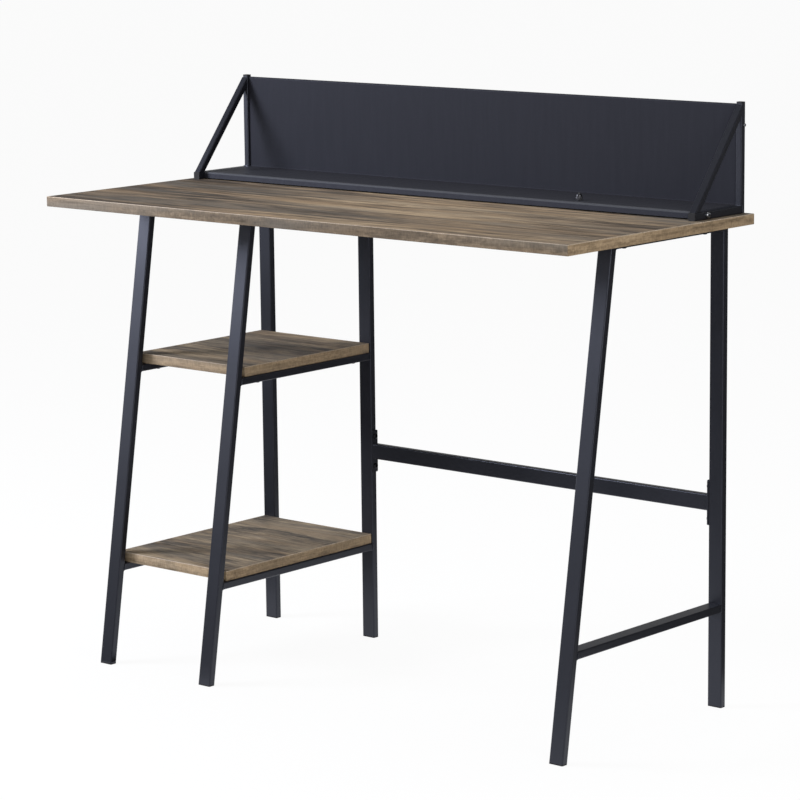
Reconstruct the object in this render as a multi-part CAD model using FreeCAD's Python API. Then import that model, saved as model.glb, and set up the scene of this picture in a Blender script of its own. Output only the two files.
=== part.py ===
import FreeCAD, Part
import math
import os

from FreeCAD import Vector

# Ladder desk: a desktop on three welded tube frames, two shelves between the left pair of frames,
# a stretcher at the back and a low hutch on top.
# Millimetres, +X to the right, -Y to the front, +Z up. The origin is on the floor under the
# middle of the desktop.

# Desktop
desk_width = 1040.0
desk_depth = 452.0
desk_height = 762.0
desktop_thickness = 16.0
board_edge_bevel = 1.0

# Flat tube of the frames
tube_width = 25.0
tube_depth = 12.0
tube_wall = 1.2
tube_corner = 2.0

# Frames: insets and setbacks are from the desktop's edges, heights are of undersides
frame_end_inset = 46.0
pedestal_width = 246.0
front_foot_setback = 44.5
front_top_setback = 163.5
upper_crossbar_height = 470.0
lower_crossbar_height = 150.0

# Shelves, which lie on the crossbars
shelf_thickness = 16.0
shelf_side_inset = 2.0
shelf_front_gap = 6.0
shelf_rear_gap = 1.0

# Plugs in the feet
foot_thickness = 2.0
foot_insert_height = 12.0

# Rear stretcher, with a plate on each end
stretcher_height = 305.0
plate_thickness = 3.0
plate_height = 70.0
plate_bolt_spacing = 50.0

# Hutch: square tube brackets, with thinner uprights that are flush on the inner side
hutch_tube = 12.0
upright_tube = 10.0
hutch_wall = 1.2
hutch_corner = 1.6
hutch_end_inset = 14.0
hutch_front_inset = 320.0
upright_rear_inset = 2.0
hutch_height = 165.0
cap_thickness = 2.0
cap_insert_height = 8.0
end_plug_thickness = 1.5
end_plug_insert = 6.0
brace_thickness = 10.0
brace_top_drop = 2.0

# Tray between the brackets, folded from one sheet: a lip, a floor level with the base bars and a back
tray_sheet = 1.2
tray_bend = 2.2
tray_setback = 12.0
tray_foot_gap = 1.0
back_setback = 3.5
back_top_drop = 3.5

# Wood screws under the top bars and the crossbars
wood_head_diameter = 8.5
wood_head_height = 3.0
wood_shank_diameter = 4.0
wood_bite = 10.0
desktop_screw_inset = 32.0
shelf_screw_front_inset = 39.0
shelf_screw_rear_inset = 29.0

# Socket bolts of the stretcher and the tray's front
bolt_head_diameter = 9.5
bolt_head_height = 2.8
bolt_shank_diameter = 5.0
stretcher_bolt_length = 14.0
tray_bolt_bite = 6.0
tray_bolt_setback = 33.0

# Screws from under the desktop into the base bars
hutch_head_diameter = 8.0
hutch_head_height = 2.8
hutch_shank_diameter = 4.0
hutch_screw_front_inset = 15.0
hutch_screw_rear_inset = 30.0

# Sheet screws through the uprights into the tray's end flanges
sheet_head_diameter = 5.2
sheet_head_height = 2.0
sheet_shank_diameter = 3.0
sheet_bite = 6.0
sheet_screw_drop = 34.5

# Bolt from under the desktop, and the cap nut on it that holds the tray's floor down
hold_head_diameter = 11.0
hold_head_height = 3.0
hold_shank_diameter = 6.0
hold_bite = 8.0
hold_right = 266.0
hold_setback = 38.0
cap_nut_flats = 10.0
cap_nut_hexagon_height = 5.5
cap_nut_dome_diameter = 9.5
cap_nut_dome_height = 6.5
cap_nut_dome_steps = 4

# Rivet nuts: a sleeve through the tube's wall and the bulge that clamps it from inside
nut_sleeve_wall = 0.8
nut_bulge = 0.6
nut_bulge_height = 1.6
nut_length = 7.5

# Shared details and fits
head_slope = 1.0
fastener_sides = 10
hexagon_sides = 6
hole_clearance = 0.4
thread_clearance = 0.1
insert_clearance = 0.1
tip_clearance = 0.5
overrun = 5.0
touching = 0.001

ORIGIN = Vector(0, 0, 0)
X_AXIS = Vector(1, 0, 0)
Y_AXIS = Vector(0, 1, 0)
Z_AXIS = Vector(0, 0, 1)

# Levels and lines that the pieces share
desk_front = -desk_depth / 2
desk_rear = desk_depth / 2
leg_top = desk_height - desktop_thickness
rear_leg_front = desk_rear - tube_depth
lean_run = front_top_setback - front_foot_setback
lean_angle = math.degrees(math.atan2(lean_run, leg_top))
leg_run_depth = tube_depth / math.cos(math.radians(lean_angle))
top_bar_height = leg_top - tube_depth
left_frame_x = -desk_width / 2 + frame_end_inset + tube_width / 2
inner_frame_x = -desk_width / 2 + frame_end_inset + pedestal_width - tube_width / 2
right_frame_x = desk_width / 2 - frame_end_inset - tube_width / 2
bolt_levels = [stretcher_height + tube_width / 2 + side * plate_bolt_spacing / 2 for side in (-1, 1)]
hutch_front = desk_front + hutch_front_inset
upright_rear = desk_rear - upright_rear_inset
upright_front = upright_rear - upright_tube
upright_y = upright_rear - upright_tube / 2
upright_top = desk_height + hutch_height - cap_thickness
base_bar_front = hutch_front + end_plug_thickness
base_bar_middle = desk_height + hutch_tube / 2
base_bar_top = desk_height + hutch_tube
bracket_x = desk_width / 2 - hutch_end_inset - hutch_tube / 2
bracket_inner_x = bracket_x - hutch_tube / 2
upright_x = bracket_inner_x + upright_tube / 2
tray_front = hutch_front + tray_setback
back_front = upright_front + back_setback
back_top = desk_height + hutch_height - back_top_drop
tray_bolt_y = hutch_front + tray_bolt_setback
sheet_screw_y = (back_front + tray_sheet + upright_rear) / 2
sheet_screw_height = desk_height + hutch_height - sheet_screw_drop
hold_y = hutch_front + hold_setback
hutch_screw_lines = [hutch_front + hutch_screw_front_inset, upright_front - hutch_screw_rear_inset]


def leg_front(z):
    """Y of the slanted front legs' front face at a height."""
    return desk_front + front_foot_setback + lean_run * z / leg_top


def leg_back(z):
    """Y of the slanted front legs' rear face at a height."""
    return leg_front(z) + leg_run_depth


def shelf_front(crossbar_height):
    """Y of a shelf's front edge, behind the front legs at the level of its top face."""
    return leg_back(crossbar_height + tube_depth + shelf_thickness) + shelf_front_gap


def desktop_screw_lines():
    """Y of the front and the rear screw of each top bar."""
    return [leg_back(leg_top) + desktop_screw_inset, rear_leg_front - desktop_screw_inset]


def shelf_screw_lines(crossbar_height):
    """Y of the front and the rear screw of a shelf."""
    front = shelf_front(crossbar_height) + shelf_screw_front_inset
    return [front, rear_leg_front - shelf_rear_gap - shelf_screw_rear_inset]


def square_bar(width, depth, length):
    """Solid bar along +Z, its width along X and its depth along Y."""
    return Part.makeBox(width, depth, length, Vector(-width / 2, -depth / 2, 0))


def rounded_bar(width, depth, length, radius):
    """Solid bar along +Z with rounded long edges."""
    bar = square_bar(width, depth, length)
    long_edges = [edge for edge in bar.Edges if abs(edge.tangentAt(edge.FirstParameter).z) > 0.5]
    return bar.makeFillet(radius, long_edges)


def hollow(width, depth, length, wall, corner):
    """Tube along +Z with rounded outer corners, open at both ends."""
    bore = square_bar(width - 2 * wall, depth - 2 * wall, length + 2 * overrun)
    return rounded_bar(width, depth, length, corner).cut(bore.translated(Vector(0, 0, -overrun)))


def frame_tube(length):
    """Length of the frames' flat tube along +Z."""
    return hollow(tube_width, tube_depth, length, tube_wall, tube_corner)


def hutch_bar(width, length):
    """Length of one of the hutch's square tubes along +Z."""
    return hollow(width, width, length, hutch_wall, hutch_corner)


def along_x(shape):
    """Turn a shape from +Z to +X, so that its width stands up."""
    return shape.rotated(ORIGIN, Y_AXIS, 90)


def along_y(shape):
    """Turn a shape from +Z to +Y, so that its width lies across."""
    return shape.rotated(ORIGIN, X_AXIS, -90)


def moved(shape, x, y, z):
    """Copy of a shape, moved."""
    return shape.translated(Vector(x, y, z))


def slab(low, high):
    """Block across the whole desk between two heights."""
    corner = Vector(-desk_width, -desk_depth, low)
    return Part.makeBox(2 * desk_width, 2 * desk_depth, high - low, corner)


def side_profile(points, reach=desk_width):
    """Prism to the same reach on both sides of the middle, drawn as (y, z) points seen from the side."""
    outline = flat_face([Vector(-reach, y, z) for y, z in points])
    return outline.extrude(Vector(2 * reach, 0, 0))


def folded(points, radii, reach):
    """Side profile with its long edge at each point of a {(y, z): radius} table rounded."""
    prism = side_profile(points, reach)
    for (y, z), radius in radii.items():
        fold = [edge for edge in prism.Edges if edge.CenterOfMass.distanceToPoint(Vector(0, y, z)) < touching]
        prism = prism.makeFillet(radius, fold)
    return prism


def flat_face(corners):
    """Flat face between corners."""
    return Part.Face(Part.makePolygon(corners + corners[:1]))


def ring(diameter, z, sides=fastener_sides):
    """Corners of a round fastener's or hole's outline, drawn with a few flat sides."""
    angles = [2 * math.pi * step / sides for step in range(sides)]
    return [Vector(diameter / 2 * math.cos(a), diameter / 2 * math.sin(a), z) for a in angles]


def stacked(rings):
    """Flat-sided solid through a stack of rings."""
    faces = [flat_face(rings[0]), flat_face(rings[-1])]
    for lower, upper in zip(rings, rings[1:]):
        for i in range(len(lower)):
            faces.append(flat_face([lower[i - 1], lower[i], upper[i], upper[i - 1]]))
    return Part.makeSolid(Part.makeShell(faces))


def round_bar(diameter, low, high, sides=fastener_sides):
    """Round bar along +Z between two heights."""
    return stacked([ring(diameter, low, sides), ring(diameter, high, sides)])


def aimed(shape, seat, direction):
    """Shape turned from +Z to a direction, with its origin at a point."""
    turned = shape.copy()
    turned.Placement = FreeCAD.Placement(seat, FreeCAD.Rotation(Z_AXIS, direction))
    return turned


def drilled(shape, diameter, start, direction, depth):
    """Shape with a round hole from a start point, which begins a little outside."""
    return shape.cut(aimed(round_bar(diameter, -overrun, depth), start, direction))


def board(low, high, bevel):
    """Board between two corners with eased edges."""
    size = high - low
    block = Part.makeBox(size.x, size.y, size.z, low)
    return block.makeChamfer(bevel, block.Edges)


def screw(head_diameter, head_height, shank_diameter, length):
    """Screw along +Z: its head is below zero, where it seats, and its shank above."""
    crown = ring(head_diameter - 2 * head_slope, -head_height)
    head = stacked([crown, ring(head_diameter, 0)])
    return head.fuse(round_bar(shank_diameter, 0, length))


def rivet_nut(shank_diameter, wall):
    """Threaded sleeve along +Z: flush with the wall's outer face at zero, bulged behind the wall."""
    bore = shank_diameter + 2 * thread_clearance
    sleeve = bore + 2 * nut_sleeve_wall
    body = round_bar(sleeve, 0, nut_length)
    bulge = round_bar(sleeve + 2 * nut_bulge, wall, wall + nut_bulge_height)
    return body.fuse(bulge).cut(round_bar(bore, -overrun, nut_length + overrun))


def nut_hole(shank_diameter):
    """Diameter of the hole that a rivet nut's sleeve fits."""
    return shank_diameter + 2 * (thread_clearance + nut_sleeve_wall + thread_clearance)


def slanted(shape, x):
    """Bar along +Z, leaned like a front leg, with its middle line through the leg's foot."""
    return moved(shape.rotated(ORIGIN, X_AXIS, -lean_angle), x, leg_front(0) + leg_run_depth / 2, 0)


def front_leg(x):
    """Slanted leg, cut level at its foot and under the desktop."""
    reach = leg_top / math.cos(math.radians(lean_angle))
    blank = moved(frame_tube(reach + 2 * tube_depth), 0, 0, -tube_depth)
    return slanted(blank, x).common(slab(foot_thickness, leg_top))


def rear_leg(x):
    """Upright leg, flush with the desktop's rear edge."""
    return moved(frame_tube(leg_top - foot_thickness), x, desk_rear - tube_depth / 2, foot_thickness)


def frame_bar(x, underside):
    """Flat bar from the front leg, whose slope cuts its end, to the rear leg."""
    start = leg_front(underside)
    blank = moved(along_y(frame_tube(desk_rear - start)), x, start, underside + tube_depth / 2)
    low = underside - overrun
    high = underside + tube_depth + overrun
    between = [(leg_back(low), low), (leg_back(high), high), (rear_leg_front, high), (rear_leg_front, low)]
    return blank.common(side_profile(between))


def screwed_bar(x, underside, lines):
    """Flat bar with a screw hole right through it at each line."""
    bar = frame_bar(x, underside)
    for y in lines:
        start = Vector(x, y, underside)
        bar = drilled(bar, wood_shank_diameter + hole_clearance, start, Z_AXIS, tube_depth + overrun)
    return bar


def foot_bars():
    """Solid bars of a foot plug along +Z: the outer one and the one that fits in the tube."""
    reach = foot_thickness + foot_insert_height + 2 * tube_depth
    inner_width = tube_width - 2 * (tube_wall + insert_clearance)
    inner_depth = tube_depth - 2 * (tube_wall + insert_clearance)
    outer = rounded_bar(tube_width, tube_depth, reach, tube_corner)
    inner = square_bar(inner_width, inner_depth, reach)
    return [moved(bar, 0, 0, -tube_depth) for bar in (outer, inner)]


def foot(place):
    """Plug that closes a leg's foot: a tread and an insert, placed as the leg's tube is."""
    outer, inner = [place(bar) for bar in foot_bars()]
    tread = outer.common(slab(0, foot_thickness))
    insert = inner.common(slab(0, foot_thickness + foot_insert_height))
    return tread.fuse(insert).removeSplitter()


def desktop():
    """Board with pilot holes for the frames' screws and holes for the hutch's screws."""
    top = board(Vector(-desk_width / 2, desk_front, leg_top),
                Vector(desk_width / 2, desk_rear, desk_height), board_edge_bevel)
    for x in (left_frame_x, inner_frame_x, right_frame_x):
        for y in desktop_screw_lines():
            top = pilot_hole(top, x, y, leg_top)
    depth = desktop_thickness + overrun
    for x in (-bracket_x, bracket_x):
        for y in hutch_screw_lines:
            start = Vector(x, y, leg_top)
            top = drilled(top, hutch_shank_diameter + hole_clearance, start, Z_AXIS, depth)
    start = Vector(hold_right, hold_y, leg_top)
    return drilled(top, hold_shank_diameter + hole_clearance, start, Z_AXIS, depth)


def pilot_hole(shape, x, y, underside):
    """Board with a blind hole for one wood screw."""
    diameter = wood_shank_diameter + 2 * thread_clearance
    return drilled(shape, diameter, Vector(x, y, underside), Z_AXIS, wood_bite + tip_clearance)


def shelf(crossbar_height):
    """Shelf on a pair of crossbars, with pilot holes for its screws."""
    underside = crossbar_height + tube_depth
    low_x = left_frame_x - tube_width / 2 + shelf_side_inset
    high_x = inner_frame_x + tube_width / 2 - shelf_side_inset
    low = Vector(low_x, shelf_front(crossbar_height), underside)
    high = Vector(high_x, rear_leg_front - shelf_rear_gap, underside + shelf_thickness)
    plank = board(low, high, board_edge_bevel)
    for x in (left_frame_x, inner_frame_x):
        for y in shelf_screw_lines(crossbar_height):
            plank = pilot_hole(plank, x, y, underside)
    return plank


def bolted_leg(x, side):
    """Rear leg with the stretcher's rivet nut holes in its left (-1) or right (+1) face."""
    leg = rear_leg(x)
    for z in bolt_levels:
        start = Vector(x + side * tube_width / 2, desk_rear - tube_depth / 2, z)
        leg = drilled(leg, nut_hole(bolt_shank_diameter), start, X_AXIS * -side, tube_width / 2)
    return leg


def end_plate(face_x, side):
    """Plate on one end of the stretcher, flat against a rear leg's face, with its bolt holes."""
    middle = stretcher_height + tube_width / 2
    corner = Vector(min(face_x, face_x + side * plate_thickness), rear_leg_front, middle - plate_height / 2)
    plate = Part.makeBox(plate_thickness, tube_depth, plate_height, corner)
    across = [edge for edge in plate.Edges if abs(edge.tangentAt(edge.FirstParameter).x) > 0.5]
    plate = plate.makeFillet(tube_corner, across)
    for z in bolt_levels:
        start = Vector(face_x, desk_rear - tube_depth / 2, z)
        depth = plate_thickness + overrun
        plate = drilled(plate, bolt_shank_diameter + hole_clearance, start, X_AXIS * side, depth)
    return plate


def add_frames(nodes):
    """Legs, bars and foot plugs of the three frames."""
    top_lines = desktop_screw_lines()
    upper_lines = shelf_screw_lines(upper_crossbar_height)
    lower_lines = shelf_screw_lines(lower_crossbar_height)
    frames = {"left": left_frame_x, "inner": inner_frame_x, "right": right_frame_x}
    for name, x in frames.items():
        nodes[f"{name}_frame_front_leg"] = front_leg(x)
        nodes[f"{name}_frame_rear_leg"] = rear_leg(x)
        nodes[f"{name}_frame_top_bar"] = screwed_bar(x, top_bar_height, top_lines)
        nodes[f"{name}_front_foot"] = foot(lambda bar: slanted(bar, x))
        nodes[f"{name}_rear_foot"] = foot(lambda bar: moved(bar, x, desk_rear - tube_depth / 2, 0))
    for name in ("left", "inner"):
        nodes[f"{name}_frame_upper_crossbar"] = screwed_bar(frames[name], upper_crossbar_height, upper_lines)
        nodes[f"{name}_frame_lower_crossbar"] = screwed_bar(frames[name], lower_crossbar_height, lower_lines)
    nodes["right_frame_lower_crossbar"] = frame_bar(right_frame_x, lower_crossbar_height)
    nodes["inner_frame_rear_leg"] = bolted_leg(inner_frame_x, 1)
    nodes["right_frame_rear_leg"] = bolted_leg(right_frame_x, -1)


def add_boards(nodes):
    """Desktop, shelves and the wood screws that hold them to the frames."""
    nodes["desktop"] = desktop()
    nodes["upper_shelf"] = shelf(upper_crossbar_height)
    nodes["lower_shelf"] = shelf(lower_crossbar_height)
    wood_screw = screw(wood_head_diameter, wood_head_height, wood_shank_diameter, tube_depth + wood_bite)
    top_seats = [
        Vector(x, y, top_bar_height)
        for x in (left_frame_x, inner_frame_x, right_frame_x)
        for y in desktop_screw_lines()
    ]
    shelf_seats = [
        Vector(x, y, height)
        for height in (upper_crossbar_height, lower_crossbar_height)
        for x in (left_frame_x, inner_frame_x)
        for y in shelf_screw_lines(height)
    ]
    nodes["desktop_screws"] = Part.makeCompound([aimed(wood_screw, seat, Z_AXIS) for seat in top_seats])
    nodes["shelf_screws"] = Part.makeCompound([aimed(wood_screw, seat, Z_AXIS) for seat in shelf_seats])


def add_stretcher(nodes):
    """Rear stretcher, its end plates, bolts and rivet nuts."""
    y = desk_rear - tube_depth / 2
    left_face = inner_frame_x + tube_width / 2
    right_face = right_frame_x - tube_width / 2
    length = right_face - left_face - 2 * plate_thickness
    bar = along_x(frame_tube(length))
    nodes["rear_stretcher"] = moved(bar, left_face + plate_thickness, y, stretcher_height + tube_width / 2)
    nodes["stretcher_left_plate"] = end_plate(left_face, 1)
    nodes["stretcher_right_plate"] = end_plate(right_face, -1)
    bolt = screw(bolt_head_diameter, bolt_head_height, bolt_shank_diameter, stretcher_bolt_length)
    nut = rivet_nut(bolt_shank_diameter, tube_wall)
    bolts = []
    nuts = []
    for face_x, side in ((left_face, 1), (right_face, -1)):
        for z in bolt_levels:
            inward = X_AXIS * -side
            bolts.append(aimed(bolt, Vector(face_x + side * plate_thickness, y, z), inward))
            nuts.append(aimed(nut, Vector(face_x, y, z), inward))
    nodes["stretcher_bolts"] = Part.makeCompound(bolts)
    nodes["stretcher_rivet_nuts"] = Part.makeCompound(nuts)


def base_bar(x):
    """Base bar of a hutch bracket, with holes for its rivet nuts and for the tray's bolt."""
    length = upright_front - base_bar_front
    bar = moved(along_y(hutch_bar(hutch_tube, length)), x, base_bar_front, base_bar_middle)
    for y in hutch_screw_lines:
        start = Vector(x, y, desk_height)
        bar = drilled(bar, nut_hole(hutch_shank_diameter), start, Z_AXIS, hutch_tube / 2)
    start = Vector(x - hutch_tube / 2, tray_bolt_y, base_bar_middle)
    return drilled(bar, bolt_shank_diameter + hole_clearance, start, X_AXIS, hutch_tube + overrun)


def upright(x):
    """Upright of a hutch bracket, with a hole right through it for the tray's sheet screw."""
    post = moved(hutch_bar(upright_tube, upright_top - desk_height), x, upright_y, desk_height)
    start = Vector(x - upright_tube / 2, sheet_screw_y, sheet_screw_height)
    return drilled(post, sheet_shank_diameter + hole_clearance, start, X_AXIS, upright_tube + overrun)


def brace(x):
    """Slanted brace from the base bar's front end up to the upright, cut to fit both."""
    rise = upright_top - brace_top_drop - base_bar_top
    run = upright_front - base_bar_front
    slope = math.atan2(run, rise)
    run_depth = brace_thickness / math.cos(slope)
    length = math.hypot(rise, run)
    bar = hollow(hutch_tube, brace_thickness, length + 4 * hutch_tube, hutch_wall, hutch_corner)
    bar = moved(bar, 0, 0, -2 * hutch_tube).rotated(ORIGIN, X_AXIS, -math.degrees(slope))
    bar = moved(bar, x, base_bar_front + run_depth / 2, base_bar_top)
    high = upright_top + 2 * hutch_tube
    above_base = [(desk_front, base_bar_top), (upright_front, base_bar_top)]
    return bar.common(side_profile(above_base + [(upright_front, high), (desk_front, high)]))


def tube_plug(width, thickness, insert_length):
    """Plug of a square tube along +Z: a head above zero and an insert below it."""
    insert_width = width - 2 * (hutch_wall + insert_clearance)
    head = rounded_bar(width, width, thickness, hutch_corner)
    insert = square_bar(insert_width, insert_width, insert_length)
    return head.fuse(moved(insert, 0, 0, -insert_length))


def tray_block(inset, end_inset, overhang, bends):
    """Solid under and behind the tray's skin, at an inset from it, with the fold lines rounded.

    The overhang carries it past the skin's foot and past its rear. The bends are the radii of the
    two outer folds and of the one between floor and back.
    """
    lip = tray_front + inset
    floor = base_bar_top - inset
    back = back_front + inset
    top = back_top - inset
    foot = desk_height + tray_foot_gap - overhang
    rear = upright_rear + overhang
    points = [(lip, foot), (lip, floor), (back, floor), (back, top), (rear, top), (rear, foot)]
    outer_bend, inner_bend = bends
    radii = {(lip, floor): outer_bend, (back, floor): inner_bend, (back, top): outer_bend}
    return folded(points, radii, bracket_inner_x - end_inset)


def hutch_tray():
    """Tray of one sheet: lip, floor, back and top edge in one run of folds, with flanges at both ends."""
    inner_bend = tray_bend - tray_sheet
    tray = tray_block(0, 0, 0, (tray_bend, inner_bend))
    tray = tray.cut(tray_block(tray_sheet, tray_sheet, overrun, (inner_bend, tray_bend)))
    depth = tray_sheet + overrun
    for side in (-1, 1):
        inward = X_AXIS * -side
        start = Vector(side * bracket_inner_x, tray_bolt_y, base_bar_middle)
        tray = drilled(tray, nut_hole(bolt_shank_diameter), start, inward, depth)
        start = Vector(side * bracket_inner_x, sheet_screw_y, sheet_screw_height)
        tray = drilled(tray, sheet_shank_diameter + 2 * thread_clearance, start, inward, depth)
    start = Vector(hold_right, hold_y, desk_height)
    return drilled(tray, hold_shank_diameter + hole_clearance, start, Z_AXIS, hutch_tube + overrun)


def cap_nut():
    """Nut along +Z: a hexagon that seats at zero, a dome that closes it and a blind bore."""
    corners = cap_nut_flats / math.cos(math.pi / hexagon_sides)
    hexagon = round_bar(corners, 0, cap_nut_hexagon_height, hexagon_sides)
    rings = []
    for step in range(cap_nut_dome_steps):
        turn = math.pi / 2 * step / cap_nut_dome_steps
        rise = cap_nut_dome_height * math.sin(turn)
        rings.append(ring(cap_nut_dome_diameter * math.cos(turn), cap_nut_hexagon_height + rise))
    bore = round_bar(hold_shank_diameter + 2 * thread_clearance, -overrun, hold_bite + tip_clearance)
    return hexagon.fuse(stacked(rings)).cut(bore)


def add_tray(nodes):
    """Tray, with the bolt and cap nut that hold its floor down."""
    nodes["hutch_tray"] = hutch_tray()
    length = desktop_thickness + hutch_tube + hold_bite
    bolt = screw(hold_head_diameter, hold_head_height, hold_shank_diameter, length)
    nodes["tray_hold_bolt"] = aimed(bolt, Vector(hold_right, hold_y, leg_top), Z_AXIS)
    nodes["tray_cap_nut"] = moved(cap_nut(), hold_right, hold_y, base_bar_top)


def add_hutch(nodes):
    """Brackets, their plugs, and the fasteners that hold them to the desktop and the tray to them."""
    cap = tube_plug(upright_tube, cap_thickness, cap_insert_height)
    plug = tube_plug(hutch_tube, end_plug_thickness, end_plug_insert)
    tray_bolt = screw(bolt_head_diameter, bolt_head_height, bolt_shank_diameter, hutch_tube + tray_bolt_bite)
    sheet_screw = screw(sheet_head_diameter, sheet_head_height, sheet_shank_diameter,
                        upright_tube + sheet_bite)
    hutch_screw = screw(hutch_head_diameter, hutch_head_height, hutch_shank_diameter,
                        desktop_thickness + nut_length)
    bar_nut = rivet_nut(hutch_shank_diameter, hutch_wall)
    tray_nut = rivet_nut(bolt_shank_diameter, tray_sheet)
    fasteners = {name: [] for name in ("tray_bolts", "tray_rivet_nuts", "tray_sheet_screws",
                                       "hutch_screws", "hutch_rivet_nuts")}
    for name, side in (("left", -1), ("right", 1)):
        x = side * bracket_x
        post_x = side * upright_x
        inner_x = side * bracket_inner_x
        inward = X_AXIS * -side
        nodes[f"hutch_{name}_base_bar"] = base_bar(x)
        nodes[f"hutch_{name}_upright"] = upright(post_x)
        nodes[f"hutch_{name}_brace"] = brace(x)
        nodes[f"hutch_{name}_cap"] = moved(cap, post_x, upright_y, upright_top)
        plug_seat = Vector(x, base_bar_front, base_bar_middle)
        nodes[f"hutch_{name}_end_plug"] = aimed(plug, plug_seat, -Y_AXIS)
        bolt_seat = Vector(inner_x + side * hutch_tube, tray_bolt_y, base_bar_middle)
        fasteners["tray_bolts"].append(aimed(tray_bolt, bolt_seat, inward))
        nut_seat = Vector(inner_x, tray_bolt_y, base_bar_middle)
        fasteners["tray_rivet_nuts"].append(aimed(tray_nut, nut_seat, inward))
        screw_seat = Vector(inner_x + side * upright_tube, sheet_screw_y, sheet_screw_height)
        fasteners["tray_sheet_screws"].append(aimed(sheet_screw, screw_seat, inward))
        for y in hutch_screw_lines:
            fasteners["hutch_screws"].append(aimed(hutch_screw, Vector(x, y, leg_top), Z_AXIS))
            fasteners["hutch_rivet_nuts"].append(aimed(bar_nut, Vector(x, y, desk_height), Z_AXIS))
    for name, shapes in fasteners.items():
        nodes[name] = Part.makeCompound(shapes)


os.makedirs("parts", exist_ok=True)
nodes = {}
add_frames(nodes)
add_boards(nodes)
add_stretcher(nodes)
add_hutch(nodes)
add_tray(nodes)
for name, shape in nodes.items():
    shape.exportStep(f"parts/{name}.step")
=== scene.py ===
"""Looks of a ladder desk: laminate boards, painted tube frames, a low hutch and their fasteners.

Metres, +X to the right, -Y to the front, +Z up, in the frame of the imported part.
"""

import logging
import math
from collections.abc import Iterable, Sequence
from dataclasses import dataclass
from enum import Enum

import bmesh
import bpy
from mathutils import Matrix, Vector


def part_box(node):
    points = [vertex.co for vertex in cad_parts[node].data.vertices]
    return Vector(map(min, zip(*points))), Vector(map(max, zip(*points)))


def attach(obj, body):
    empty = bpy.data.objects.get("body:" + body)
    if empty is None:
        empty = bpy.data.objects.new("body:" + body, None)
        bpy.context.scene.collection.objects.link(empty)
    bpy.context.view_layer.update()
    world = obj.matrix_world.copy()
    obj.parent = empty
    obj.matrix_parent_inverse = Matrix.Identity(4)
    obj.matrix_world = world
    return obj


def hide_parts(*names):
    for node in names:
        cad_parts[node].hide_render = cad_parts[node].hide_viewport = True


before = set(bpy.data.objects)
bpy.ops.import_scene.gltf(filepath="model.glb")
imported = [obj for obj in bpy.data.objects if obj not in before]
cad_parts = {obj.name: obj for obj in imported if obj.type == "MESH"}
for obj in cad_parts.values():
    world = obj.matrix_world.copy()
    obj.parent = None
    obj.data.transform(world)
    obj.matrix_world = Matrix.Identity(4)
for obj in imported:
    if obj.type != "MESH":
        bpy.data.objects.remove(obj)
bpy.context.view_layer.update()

LOG = logging.getLogger("ladder_desk")
BODY = "root"

# Mesh attributes that a recipe or a finish reads
AIM = "aim"
# FOLD names the mask of the tray lip's fold, where the tray's finish paints a highlight
FOLD = "fold"

# Closeness in metres at which points count as one, and the decimals that order places
MERGE_REACH = 1e-6
FINE_MERGE_REACH = 1e-7
PLACE_DECIMALS = 5

Range = tuple[float, float]
Colour = tuple[float, float, float]
Tones = tuple[tuple[float, float], ...]
ColourStops = tuple[tuple[float, Colour], ...]
Box = tuple[Vector, Vector]
Path = list[Vector]
Socket = bpy.types.NodeSocket
Feed = Socket | float | int | tuple | str | bpy.types.Material

# A full range, and the range that most of a noise lies in
UNIT: Range = (0.0, 1.0)
BUSY: Range = (0.3, 0.7)
WHITE: Colour = (1.0, 1.0, 1.0)


class Slot(Enum):
    """Material slots of the part's record."""

    WOOD = "wood_laminate"
    TRAY = "tray_charcoal"
    ZINC = "bright_zinc"
    BLACK_STEEL = "black_steel"
    PAINT = "frame_paint"


class GrainPlane(Enum):
    """Axes of a printed grain: along it, across it, and the axis that only shifts the print."""

    FACE = ("X", "Y", "Z")
    LONG_EDGE = ("X", "Z", "Y")
    SHORT_EDGE = ("Y", "Z", "X")


class Drive(Enum):
    """Recess in a screw's head."""

    CROSS = "cross"
    HEX = "hex"


class BoardSide(Enum):
    """Material numbers of a board's sides."""

    FLAT = 0
    LONG_EDGE = 1
    SHORT_EDGE = 2
    ARRIS = 3


@dataclass(frozen=True)
class Speckle:
    """Noise: cells per metre, octaves and how strongly they carry on."""

    scale: float = 1.0
    octaves: float = 2.0
    fade: float = 0.5


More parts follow.
